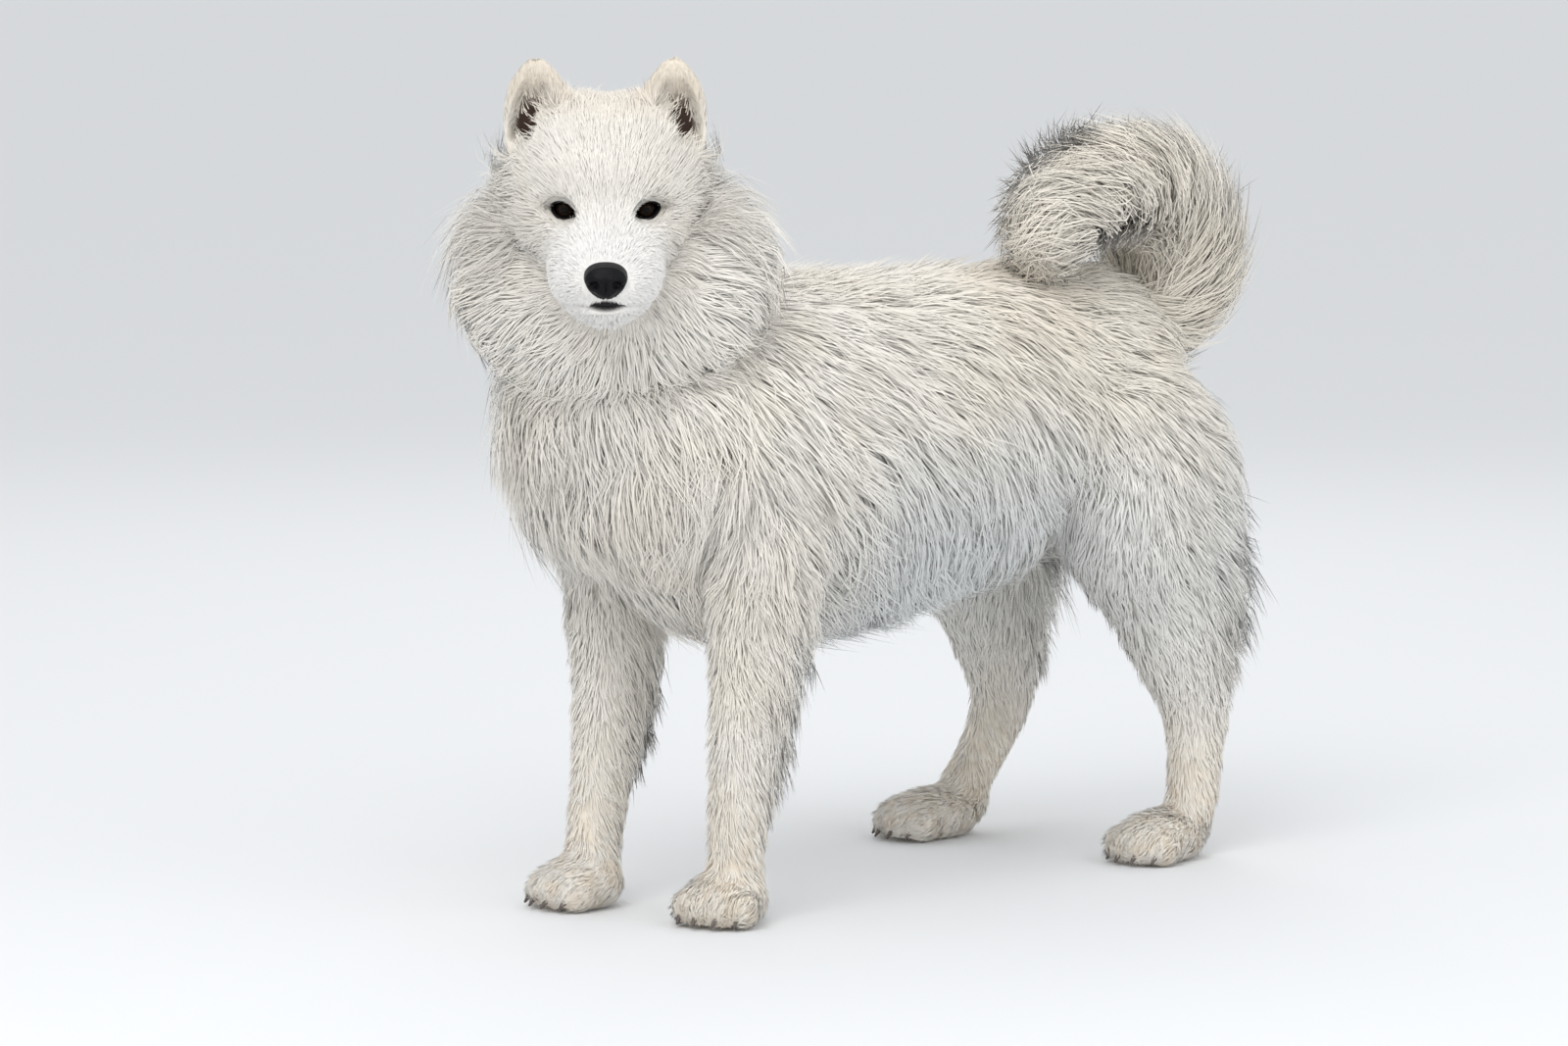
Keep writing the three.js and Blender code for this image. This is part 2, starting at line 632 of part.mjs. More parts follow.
// The whole dog, part by part. Each part is cut clear of those before it in this list.
function bodyPieces() {
  const rooms = [carried(headRoom(), headFrame)];
  const pieces = {};
  const place = (name, make) => {
    const whole = make(0);
    pieces[name] = cutBy(whole, rooms);
    rooms.push(join([make(GAP), whole]));
  };
  const coatOn = (loft, names) =>
    furred(
      (grow) => loft.solid(CORE, grow),
      names.flatMap((name) => locksOf(loft, coats[name])),
    );
  const ruff = coatOn(ruffPlan, ["ruff"]);
  place("collar", collarSolid);
  place("ruff", (grow) => carried(ruff(grow), headFrame));
  place("neck", coatOn(neckPlan, ["neck", "nape"]));
  const [plume, base] = [{ from: TAIL_PARTING }, { to: TAIL_PARTING }];
  const plumeLocks = locksOf(tailPlan, { ...coats.tail, span: [TAIL_PARTING + 0.06, 0.95], tiers: 6 });
  const baseLocks = locksOf(tailPlan, { ...coats.tail, span: [0.08, TAIL_PARTING - 0.06], tiers: 2 });
  place("tail_plume", furred((grow) => tailPlan.solid(CORE, grow, plume), plumeLocks));
  place("tail_base", furred((grow) => tailPlan.solid(CORE, grow, base), baseLocks));
  for (const [name, paw] of Object.entries(paws)) {
    const coat = name.startsWith("front") ? ["foreleg"] : ["thigh", "shank"];
    place(`paw_${name}`, (grow) => carried(pawSolid(paw, grow), pawFrame(paw)));
    place(`leg_${name}`, coatOn(legPlans[name], coat));
  }
  place("torso", coatOn(torsoPlan, ["torso"]));
  return pieces;
}

// Assembly

const looks = {
  coat: { color: "#f2efe8", roughness: 0.95, metalness: 0 },
  nose: { color: "#141214", roughness: 0.45, metalness: 0 },
  eye: { color: "#1c120c", roughness: 0.08, metalness: 0 },
  leather: { color: "#2a2018", roughness: 0.6, metalness: 0 },
};

function lookOf(name) {
  if (name.startsWith("eye")) return looks.eye;
  return { nose: looks.nose, collar: looks.leather }[name] ?? looks.coat;
}

// A mesh with its own frame at the middle of its foot.
function meshOf(name, solid) {
  const geometry = geometryOf(largest(solid));
  geometry.computeBoundingBox();
  const middle = geometry.boundingBox.getCenter(vec(0, 0, 0));
  middle.z = geometry.boundingBox.min.z;
  geometry.translate(-middle.x, -middle.y, -middle.z);
  const mesh = new THREE.Mesh(geometry, new THREE.MeshStandardMaterial(lookOf(name)));
  mesh.name = name;
  mesh.position.copy(middle);
  return mesh;
}

const head = new THREE.Group();
headFrame.decompose(head.position, head.quaternion, head.scale);
for (const [name, solid] of Object.entries(headPieces())) head.add(meshOf(name, solid));

const dog = new THREE.Group();
dog.add(head);
for (const [name, solid] of Object.entries(bodyPieces())) dog.add(meshOf(name, solid));

// The origin is on the floor, under the middle of the whole.
const samoyed = new THREE.Group();
samoyed.add(dog);
samoyed.updateMatrixWorld(true);
const whole = new THREE.Box3().setFromObject(dog, true);
dog.position.set(-(whole.min.x + whole.max.x) / 2, -(whole.min.y + whole.max.y) / 2, 0);

export default samoyed;
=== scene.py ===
import itertools
import math
import bpy
import bmesh
import numpy as np
from mathutils import Matrix, Vector, noise
from mathutils.bvhtree import BVHTree
from mathutils.kdtree import KDTree


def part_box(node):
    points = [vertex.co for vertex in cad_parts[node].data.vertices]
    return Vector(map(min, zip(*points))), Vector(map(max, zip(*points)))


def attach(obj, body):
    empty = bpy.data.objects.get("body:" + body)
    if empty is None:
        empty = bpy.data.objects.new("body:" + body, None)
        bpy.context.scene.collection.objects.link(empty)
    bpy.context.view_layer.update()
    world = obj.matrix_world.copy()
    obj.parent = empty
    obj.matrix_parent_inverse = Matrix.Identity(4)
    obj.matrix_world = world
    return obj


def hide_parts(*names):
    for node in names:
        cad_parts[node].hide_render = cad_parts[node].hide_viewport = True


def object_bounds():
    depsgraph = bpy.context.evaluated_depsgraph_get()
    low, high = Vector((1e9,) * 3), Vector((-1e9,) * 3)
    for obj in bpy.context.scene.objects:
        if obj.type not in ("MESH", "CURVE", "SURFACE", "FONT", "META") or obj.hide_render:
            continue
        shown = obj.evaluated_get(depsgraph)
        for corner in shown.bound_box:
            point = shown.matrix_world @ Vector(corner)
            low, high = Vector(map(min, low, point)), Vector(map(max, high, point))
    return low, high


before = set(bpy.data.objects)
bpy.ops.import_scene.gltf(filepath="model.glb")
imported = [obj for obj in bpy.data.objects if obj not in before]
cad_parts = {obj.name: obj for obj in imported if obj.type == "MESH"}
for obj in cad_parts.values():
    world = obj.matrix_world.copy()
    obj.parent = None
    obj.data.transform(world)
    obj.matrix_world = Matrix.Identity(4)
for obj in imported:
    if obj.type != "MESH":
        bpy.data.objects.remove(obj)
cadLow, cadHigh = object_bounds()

rng = np.random.default_rng(7)


# Lofts. Sizes are in millimetres, and the dog faces -Y with its left side to +X.

def catmull(points, t):
    points = np.asarray(points, float)
    count = len(points)
    p = (count - 1) * np.clip(np.asarray(t, float), 0, 1)
    i = np.minimum(np.floor(p).astype(int), count - 2)
    w = (p - i)[..., None]
    before = 2 * points[0] - points[1]
    after = 2 * points[-1] - points[-2]
    padded = np.vstack([before, points, after])
    a, b, c, d = padded[i], padded[i + 1], padded[i + 2], padded[i + 3]
    gap = lambda x, y: np.maximum(((x - y) ** 2).sum(-1, keepdims=True), 0) ** 0.25
    one = gap(b, c)
    one = np.where(one < 1e-4, 1, one)
    zero = np.where(gap(a, b) < 1e-4, one, gap(a, b))
    two = np.where(gap(c, d) < 1e-4, one, gap(c, d))
    m = ((b - a) / zero - (c - a) / (zero + one) + (c - b) / one) * one
    n = ((c - b) / one - (d - b) / (one + two) + (d - c) / two) * one
    return b + m * w + (3 * (c - b) - 2 * m - n) * w ** 2 + (2 * (b - c) + m + n) * w ** 3


def unit(v):
    return v / np.maximum(np.linalg.norm(v, axis=-1, keepdims=True), 1e-9)


def smooth(low, high, x):
    k = np.clip((x - low) / (high - low), 0, 1)
    return k * k * (3 - 2 * k)


def wholeTurn(sides):
    return np.arange(sides) / sides * 2 * math.pi


def vectors(x, y, z):
    return np.stack(np.broadcast_arrays(x, y, z), 1)


class Loft:
    def __init__(self, stations, across=(1, 0, 0), square=1.0, level=0.0):
        self.centre, self.flesh, self.coat = ([s[k] for s in stations] for k in range(3))
        self.across = np.array(across, float)
        self.square = square
        self.level = level

    # Points at t along and a round; a = 0 is the side and a quarter turn is up.
    def points(self, t, a, share):
        t, a = np.asarray(t, float), np.asarray(a, float)
        size = catmull(self.flesh, t) + catmull(self.coat, t) * share
        low, high = np.clip(t - 1e-4, 0, 1), np.clip(t + 1e-4, 0, 1)
        along = unit(catmull(self.centre, high) - catmull(self.centre, low))
        along = unit(along * (1 - self.level) + np.array([0, 0, -1]) * self.level)
        up = unit(np.cross(np.broadcast_to(self.across, along.shape), along))
        side = unit(np.cross(along, up))
        bulge = lambda x: np.sign(x) * np.abs(x) ** self.square
        rise = bulge(np.sin(a))[..., None]
        reach = np.where(rise > 0, size[..., 1:2], size[..., 2:3])
        sideways = side * bulge(np.cos(a))[..., None] * size[..., 0:1]
        return catmull(self.centre, t) + sideways + up * rise * reach

    def rings(self, share, rows, sides):
        t, a = np.meshgrid(np.linspace(0, 1, rows), wholeTurn(sides), indexing="ij")
        return t, a, self.points(t, a, share)

    def ends(self, share):
        out = []
        for t, way in ((0.0, -1), (1.0, 1)):
            low, high = max(t - 1e-4, 0), min(t + 1e-4, 1)
            along = unit(catmull(self.centre, [high])[0] - catmull(self.centre, [low])[0])
            size = catmull(self.flesh, [t])[0] + catmull(self.coat, [t])[0] * share
            out.append(catmull(self.centre, [t])[0] + along * way * size[0] * 0.4)
        return out


# Quads between rings of points; a closed row of rings joins the last to the first
def ringFaces(rows, sides, flip=False, closed=False):
    faces = []
    for r in range(rows if closed else rows - 1):
        for k in range(sides):
            n, q = (k + 1) % sides, (r + 1) % rows
            a, b, c, d = r * sides + k, r * sides + n, q * sides + n, q * sides + k
            faces.append((a, d, c, b) if flip else (a, b, c, d))
    return faces


# The same, closed at both ends by a fan to the two points that follow the rings
def tubeFaces(rows, sides):
    faces, last = ringFaces(rows, sides), rows * sides
    for k in range(sides):
        n = (k + 1) % sides
        faces += [(last, n, k), (last + 1, last - sides + k, last - sides + n)]
    return faces


def loftMesh(loft, share, rows, sides, move):
    grid = loft.rings(share, rows, sides)[2].reshape(-1, 3)
    return move(np.vstack([grid, *loft.ends(share)])), tubeFaces(rows, sides)


# The head's own frame: +Y forward, +X to the dog's right, the eyes at z = 0
headPlace = dict(eyes=(76, -400, 637), turn=47.8, bow=11.0)
headMatrix = (
    Matrix.Translation(headPlace["eyes"])
    @ Matrix.Rotation(math.radians(headPlace["turn"] + 180), 4, "Z")
    @ Matrix.Rotation(math.radians(-headPlace["bow"]), 4, "X")
)
headArray = np.array(headMatrix)


def toBody(p):
    return np.asarray(p, float) @ headArray[:3, :3].T + headArray[:3, 3]


def toHead(p):
    return (np.asarray(p, float) - headArray[:3, 3]) @ headArray[:3, :3]


def turnOut(v):
    return np.asarray(v, float) @ headArray[:3, :3].T


# From millimetres of the plan to metres on the floor: the eye shows where the plan lies
eyeApart, eyeRadius, eyeDepth, lidThickness = 34.0, 11.5, 8.0, 2.6
eyeLow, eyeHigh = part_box("eye_left")
eyeFound = np.array((eyeLow + eyeHigh) / 2)
shift = eyeFound - toBody([(-eyeApart, -eyeDepth, 0)])[0] / 1000
print("plan shift", shift)


def toRow(p):
    return np.asarray(p, float) / 1000 + shift


# Plans: centre, flesh reach and coat depth, each to the side, up and down
torso = Loft([
    [(0, -318, 388), (54, 50, 62), (34, 30, 40)],
    [(0, -280, 398), (84, 96, 92), (40, 34, 50)],
    [(0, -212, 404), (103, 130, 118), (45, 38, 56)],
    [(0, -110, 408), (108, 130, 124), (45, 38, 58)],
    [(0, -10, 412), (106, 125, 122), (42, 38, 58)],
    [(0, 90, 420), (100, 118, 112), (42, 38, 56)],
    [(0, 180, 432), (94, 106, 100), (40, 38, 60)],
    [(0, 255, 438), (85, 98, 98), (38, 36, 60)],
    [(0, 310, 432), (66, 80, 84), (36, 36, 50)],
    [(0, 338, 424), (36, 44, 46), (36, 34, 40)],
])
neck = Loft([
    [(-4, -258, 340), (64, 42, 40), (34, 30, 6)],
    [(-6, -262, 368), (86, 64, 56), (52, 42, 6)],
    [(-10, -266, 412), (92, 68, 62), (60, 44, 6)],
    [(-16, -276, 458), (90, 76, 72), (66, 46, 10)],
    [(-12, -290, 504), (82, 76, 76), (50, 28, 30)],
    [(6, -302, 548), (74, 68, 76), (12, 4, 42)],
    [(12, -318, 588), (68, 62, 72), (8, 4, 42)],
    [(12, -332, 622), (52, 48, 54), (6, 4, 32)],
])
tailRows = [
    (-80, 17, (22, 24, 16)), (-50, 16, (50, 30, 56)), (-20, 15, (72, 34, 74)), (10, 15, (76, 36, 70)),
    (40, 14, (76, 38, 62)), (70, 13, (74, 38, 50)), (100, 11, (70, 38, 46)), (130, 9, (62, 34, 48)),
    (160, 6, (44, 22, 30)),
]


def tailCentre(degrees):
    across, rise = math.cos(math.radians(degrees)), math.sin(math.radians(degrees))
    return ((degrees + 80) * 0.3, 284 + across * (78 if across > 0 else 132), 556 + rise * 77)


tail = Loft([[tailCentre(d), (flesh,) * 3, coat] for d, flesh, coat in tailRows])


def foreleg(side, wrist, paw):
    return Loft([
        [(side * 62, -236, 440), (30, 44, 44), (8, 8, 8)],
        [(side * 78, -232, 392), (38, 56, 56), (18, 20, 16)],
        [(side * 91, -232, 330), (36, 48, 46), (24, 36, 18)],
        [(side * 93, -238, 276), (31, 37, 34), (17, 44, 14)],
        [((side * 91 + wrist[0]) / 2, (wrist[1] - 240) / 2, 196), (25, 27, 25), (9, 36, 8)],
        [(*wrist, 118), (23, 23, 22), (7, 19, 6)],
        [((wrist[0] + paw[0]) / 2, (wrist[1] + paw[1]) / 2 + 4, 66), (21, 21, 21), (6, 10, 6)],
        [(paw[0], paw[1] + 14, 34), (21, 21, 21), (5, 6, 5)],
    ])


def hindleg(side, knee, calf, shin, hock, paw):
    return Loft([
        [(side * 50, 246, 476), (24, 46, 48), (6, 8, 8)],
        [(side * 74, 252, 430), (44, 74, 78), (26, 42, 16)],
        [(side * 90, 252, 368), (48, 80, 76), (30, 72, 22)],
        [(*knee, 304), (40, 66, 54), (28, 92, 20)],
        [(*calf, 252), (31, 48, 40), (20, 74, 16)],
        [(*shin, 200), (26, 34, 32), (14, 44, 12)],
        [(*hock, 138), (21, 27, 27), (7, 13, 9)],
        [((hock[0] + paw[0]) / 2, (hock[1] * 2 + paw[1] + 44) / 3, 90), (20, 23, 22), (6, 10, 6)],
        [(paw[0], paw[1] + 44, 44), (20, 22, 20), (5, 8, 5)],
    ], level=0.6)


paws = {
    "front_left": dict(at=(86, -268), turn=22, reach=45, wide=42),
    "front_right": dict(at=(-70, -300), turn=-8, reach=45, wide=42),
    "hind_left": dict(at=(118, 270), turn=6, reach=60, wide=40),
    "hind_right": dict(at=(-134, 214), turn=-8, reach=60, wide=40),
}
legs = {
    "front_left": foreleg(1, (87, -254), paws["front_left"]["at"]),
    "front_right": foreleg(-1, (-76, -272), paws["front_right"]["at"]),
    "hind_left": hindleg(
        1, (108, 238), (114, 264), (117, 286), (118, 316), paws["hind_left"]["at"],
    ),
    "hind_right": hindleg(
        -1, (-102, 212), (-112, 246), (-120, 280), (-127, 308), paws["hind_right"]["at"],
    ),
}
skull = Loft([
    [(0, -136, 4), (38, 42, 40), (10, 5, 10)],
    [(0, -112, 8), (62, 62, 60), (18, 6, 16)],
    [(0, -80, 9), (70, 68, 70), (22, 6, 18)],
    [(0, -50, 5), (70, 72, 74), (20, 6, 14)],
    [(0, -22, -5), (65, 56, 70), (14, 5, 9)],
    [(0, 0, -20), (55, 34, 56), (6, 4, 6)],
    [(0, 25, -36), (47, 28, 43), (4, 3, 4)],
    [(0, 50, -45), (41, 22, 36), (3, 2, 3)],
    [(0, 72, -49), (34, 20, 31), (2, 2, 3)],
    [(0, 87, -51), (23, 16, 25), (2, 1, 2)],
], square=0.86)
ruff = Loft([
    [(-10, -142, -74), (60, 60, 62), (24, 16, 20)],
    [(-8, -118, -78), (80, 78, 76), (46, 28, 36)],
    [(-8, -92, -82), (88, 84, 80), (62, 42, 44)],
    [(-8, -66, -82), (88, 82, 80), (64, 46, 44)],
    [(-8, -42, -78), (80, 68, 72), (54, 36, 38)],
    [(-6, -22, -72), (64, 48, 56), (26, 18, 22)],
])
jaw = Loft([
    [(0, -10, -66), (34, 18, 16), (0, 0, 0)],
    [(0, 20, -64), (35, 18, 19), (0, 0, 0)],
    [(0, 48, -64), (31, 16, 21), (0, 0, 0)],
    [(0, 66, -66), (24, 14, 20), (0, 0, 0)],
    [(0, 78, -68), (13, 8, 13), (0, 0, 0)],
], square=0.86)
noseLoft = Loft([
    [(0, 72, -40), (15, 12, 14), (0, 0, 0)],
    [(0, 82, -41), (18, 15, 17), (0, 0, 0)],
    [(0, 92, -42), (17, 14.5, 17), (0, 0, 0)],
    [(0, 98, -43), (11, 9, 11), (0, 0, 0)],
], square=0.85)
earSize = dict(
    base=(58, -68, 22), tip=(60, -66, 117), wide=32, deep=15, hollow=15,
    taper=(0.8, 1, 0.98, 0.82, 0.36),
)


def earLoft(side):
    base, tip = np.array(earSize["base"], float), np.array(earSize["tip"], float)
    rows = []
    for i, k in enumerate(earSize["taper"]):
        x, y, z = base + (tip - base) * i / 4
        deep = earSize["deep"] * k
        rows.append([(side * x, y, z), (earSize["wide"] * k - 1.5, deep - 1, deep - 1), (1.5, 1, 1)])
    return Loft(rows)


# Dents and bumps of the face, alike on both sides: where, how wide and how far out
faceForms = [
    ((eyeApart, 4, 2), 17, -7), ((29, -12, 27), 18, 5), ((46, 18, -24), 20, -4), ((27, 60, -54), 20, 6),
    ((36, 34, -54), 20, 5), ((0, -6, 30), 14, -4),
]


def shapeFace(points):
    out = unit(points - vectors(0, np.minimum(points[:, 1], 20), -20.0))
    moved = points.copy()
    for at, wide, far in faceForms:
        for mirror in ((1, -1) if at[0] else (1,)):
            away = np.linalg.norm(points - np.array([at[0] * mirror, at[1], at[2]]), axis=1)
            moved += out * (far * np.exp(-((away / wide) ** 2)))[:, None]
    return moved


# How each part's coat grows: share of the coat's depth that is skin, lie, hair length and its density
coatSettings = {
    "head": dict(share=0.2, lie=(0, -1, -0.12), inHead=True, base=7, slope=1.5, dense=820, wide=1.0),
    "jaw": dict(share=0, lie=(0, -1, -0.5), inHead=True, base=7, slope=1.5, dense=820, wide=1.0),
    "ear": dict(share=0, lie=(0, -0.1, 1), inHead=True, base=9, slope=1.5, dense=760, wide=1.05),
    "ruff": dict(share=0.4, lie=(0, -0.8, -0.5), inHead=True, base=20, slope=1.5, dense=210, wide=1.65),
    "neck": dict(share=0.4, lie=(0, 0.2, -1), base=20, slope=1.6, dense=165, wide=1.8),
    "torso": dict(share=0.42, lie=(0, 0.6, -1.0), base=24, slope=1.6, dense=130, wide=1.9),
    "tail": dict(share=0.45, lie="along", base=26, slope=1.35, dense=210, wide=1.7),
    "foreleg": dict(share=0.3, lie=(0, 0.35, -1), base=14, slope=1.6, dense=200, wide=1.4),
    "hindleg": dict(share=0.5, lie=(0, 0.35, -1), base=16, slope=1.5, dense=170, wide=1.6),
    "paw": dict(share=0, lie=(0, -1, -0.5), base=10, slope=1.0, dense=460, wide=1.25),
}

# Parts of the skin, each with samples of where its coat lies
skinParts, samples = [], []


def addPart(kind, loft, rows, sides, shape=lambda p: p):
    s = coatSettings[kind]
    share = s["share"]
    inHead = s.get("inHead", False)
    place = (lambda p: toBody(shape(p))) if inHead else shape
    skinParts.append(loftMesh(loft, share, rows, sides, place))
    t, a, inner = loft.rings(share, rows, sides)
    outer = loft.points(t, a, 1)
    inner, outer = place(inner.reshape(-1, 3)), place(outer.reshape(-1, 3))
    depth = np.linalg.norm(outer - inner, axis=1)
    if s["lie"] == "along":
        ahead = place(loft.points(np.clip(t + 0.01, 0, 1), a, share).reshape(-1, 3))
        behind = place(loft.points(np.clip(t - 0.01, 0, 1), a, share).reshape(-1, 3))
        lie = unit(ahead - behind)
    else:
        lie = np.tile(unit(np.array(s["lie"], float)), (len(inner), 1))
        if inHead:
            lie = turnOut(lie)
    samples.append(dict(kind=kind, at=inner, lie=lie, depth=depth))


addPart("torso", torso, 90, 56)
addPart("neck", neck, 60, 48)
addPart("tail", tail, 80, 24)
addPart("ruff", ruff, 40, 48)
addPart("head", skull, 80, 56, shapeFace)
addPart("jaw", jaw, 30, 32)
for side in (1, -1):
    addPart("ear", earLoft(side), 40, 32)
for name, loft in legs.items():
    addPart("foreleg" if name.startswith("front") else "hindleg", loft, 70, 28)


def sphereMesh(at, radii, place, rows=14, sides=20):
    v, u = np.meshgrid(np.linspace(0, math.pi, rows), wholeTurn(sides), indexing="ij")
    points = np.stack([np.sin(v) * np.cos(u), np.sin(v) * np.sin(u), np.cos(v)], -1).reshape(-1, 3)
    points = place(points * np.array(radii) + np.array(at))
    points[:, 2] = np.maximum(points[:, 2], 0.4)
    return points, ringFaces(rows, sides, flip=True)


# Each paw: the pad of the foot, the ankle and four toes, with the places of its claws
clawPlaces = []
for name, paw in paws.items():
    spin = np.array(Matrix.Rotation(math.radians(paw["turn"]), 3, "Z"))
    base = np.array([*paw["at"], 0.0])
    placePaw = lambda p, spin=spin, base=base: np.asarray(p, float) @ spin.T + base
    ankle = (0, 40, 36) if name.startswith("hind") else (0, 13, 34)
    pieces = [((0, 0, 21), (paw["wide"] - 6, paw["reach"] - 7, 25)), (ankle, (22, 25, 30))]
    for s in (-0.66, -0.23, 0.23, 0.66):
        x, y = s * paw["wide"], -paw["reach"] * (0.67 - s * s * 0.42)
        pieces.append(((x, y, 16), (12, 16.5, 15.5)))
        clawPlaces.append((placePaw, x, y))
    for at, radii in pieces:
        points, faces = sphereMesh(at, radii, placePaw)
        skinParts.append((points, faces))
        lie = np.tile(np.array([0, -1, -0.4]) @ spin.T, (len(points), 1))
        samples.append(dict(kind="paw", at=points, lie=unit(lie), depth=np.full(len(points), 5.0)))
print("parts", len(skinParts))


# One skin: the parts joined, made one surface, and its face cut finer
skinSettings = dict(voxel=0.0038, smoothing=5, ankles=14, knees=12, hold=0.3)


def meshObject(name, points, faces):
    mesh = bpy.data.meshes.new(name)
    mesh.from_pydata([tuple(p) for p in points], [], [tuple(f) for f in faces])
    mesh.update()
    made = bpy.data.objects.new(name, mesh)
    bpy.context.scene.collection.objects.link(made)
    return made


# Doubles merged and faces turned outwards
def mendMesh(mesh, apart):
    mender = bmesh.new()
    mender.from_mesh(mesh)
    bmesh.ops.remove_doubles(mender, verts=mender.verts, dist=apart)
    bmesh.ops.recalc_face_normals(mender, faces=mender.faces)
    mender.to_mesh(mesh)
    mender.free()


allPoints, allFaces, offset = [], [], 0
for points, faces in skinParts:
    allPoints.append(toRow(points))
    allFaces.extend(tuple(i + offset for i in f) for f in faces)
    offset += len(points)
rough = meshObject("rough", np.vstack(allPoints), allFaces)
mendMesh(rough.data, 1e-6)
remesh = rough.modifiers.new("remesh", "REMESH")
remesh.mode = "VOXEL"
remesh.voxel_size = skinSettings["voxel"]
graph = bpy.context.evaluated_depsgraph_get()
skinMesh = bpy.data.meshes.new_from_object(rough.evaluated_get(graph))
bpy.data.objects.remove(rough)
skin = bpy.data.objects.new("skin", skinMesh)
bpy.context.scene.collection.objects.link(skin)


def readArray(items, field, width, kind=float):
    values = np.empty(len(items) * width, kind)
    items.foreach_get(field, values)
    return values.reshape(-1, width)


def coordsOf(mesh):
    return readArray(mesh.vertices, "co", 3)


def normalsOf(mesh):
    return readArray(mesh.vertex_normals, "vector", 3, np.float32).astype(float)


def edgesOf(mesh):
    return readArray(mesh.edges, "vertices", 2, np.int32)


def addLayer(mesh, name, values):
    layer = mesh.attributes.new(name, "FLOAT", "POINT")
    layer.data.foreach_set("value", values.astype(np.float32))


# Each value drawn to the mean of its neighbours, time after time
def relax(values, edges, times, hold=0.0):
    count = len(values)
    degree = np.maximum(np.bincount(edges.ravel(), minlength=count), 1)[:, None]
    for _ in range(times):
        total = np.stack([
            np.bincount(edges[:, 0], values[edges[:, 1], k], count)
            + np.bincount(edges[:, 1], values[edges[:, 0], k], count)
            for k in range(values.shape[1])
        ], 1)
        values = values * hold + (total / degree) * (1 - hold)
    return values


edges = edgesOf(skinMesh)
co = relax(coordsOf(skinMesh), edges, skinSettings["smoothing"], skinSettings["hold"])


def relaxWhere(co, where, times):
    share = where[:, None]
    return co * (1 - share) + relax(co, edges, times, skinSettings["hold"]) * share


ankles = smooth(0.03, 0.045, co[:, 2]) * smooth(0.17, 0.12, co[:, 2])
co = relaxWhere(co, ankles, skinSettings["ankles"])
knees = smooth(0.2, 0.24, co[:, 2]) * smooth(0.4, 0.36, co[:, 2]) * smooth(0.22, 0.27, co[:, 1])
co = relaxWhere(co, knees, skinSettings["knees"])
skinMesh.vertices.foreach_set("co", co.ravel())

faceMesh = bmesh.new()
faceMesh.from_mesh(skinMesh)
muzzleSpots, eyeSpots = [(0, 40, -50), (0, 0, -5)], [(eyeApart, 2, 0), (-eyeApart, 2, 0)]
for spots, reach in ((muzzleSpots, 95), (eyeSpots, 27), (eyeSpots, 27)):
    middles = [Vector(toRow(toBody([spot])[0])) for spot in spots]
    close = [
        e for e in faceMesh.edges
        if any((e.verts[0].co - m).length < reach / 1000 for m in middles)
    ]
    bmesh.ops.subdivide_edges(faceMesh, edges=close, cuts=1, use_grid_fill=True)
    bmesh.ops.triangulate(faceMesh, faces=[f for f in faceMesh.faces if len(f.verts) > 4])
faceMesh.to_mesh(skinMesh)
faceMesh.free()
print("skin faces", len(skinMesh.polygons))

# The face's fine forms, on the skin in the head's frame
co = coordsOf(skinMesh)
head = toHead((co - shift) * 1000)
near = np.where(
    (head[:, 1] > -110) & (np.abs(head[:, 0]) < 110) & (head[:, 2] > -110) & (head[:, 2] < 130)
)[0]
local = head[near]
normal = (np.linalg.inv(headArray[:3, :3]) @ normalsOf(skinMesh)[near].T).T
# bare black skin, the painted shade on each ear's bare hollow, and how much of its length the hair
# keeps
dark, earHollowShade, short = np.zeros(len(co)), np.zeros(len(co)), np.ones(len(co))


def bezier(a, b, c, count=24):
    t = np.linspace(0, 1, count, endpoint=False)[:, None]
    return np.array(a) * (1 - t) ** 2 + 2 * np.array(b) * t * (1 - t) + np.array(c) * t ** 2


almond = np.vstack([bezier((-11, -3), (-2, 13), (11, 2)), bezier((11, 2), (3, -12.5), (-11, -3))])


def signedDistance(p, outline):
    a, b = outline, np.roll(outline, -1, 0)
    ab = b - a
    t = np.clip(((p[:, None] - a) * ab).sum(-1) / (ab ** 2).sum(-1), 0, 1)
    away = np.linalg.norm(p[:, None] - a - t[..., None] * ab, axis=-1).min(1)
    y, x = p[:, None, 1], p[:, None, 0]
    at = ab[:, 0] * (y - a[:, 1]) / (ab[:, 1] + 1e-12) + a[:, 0]
    crosses = ((a[:, 1] > y) != (b[:, 1] > y)) & (x < at)
    return np.where(crosses.sum(1) % 2 == 1, -away, away)


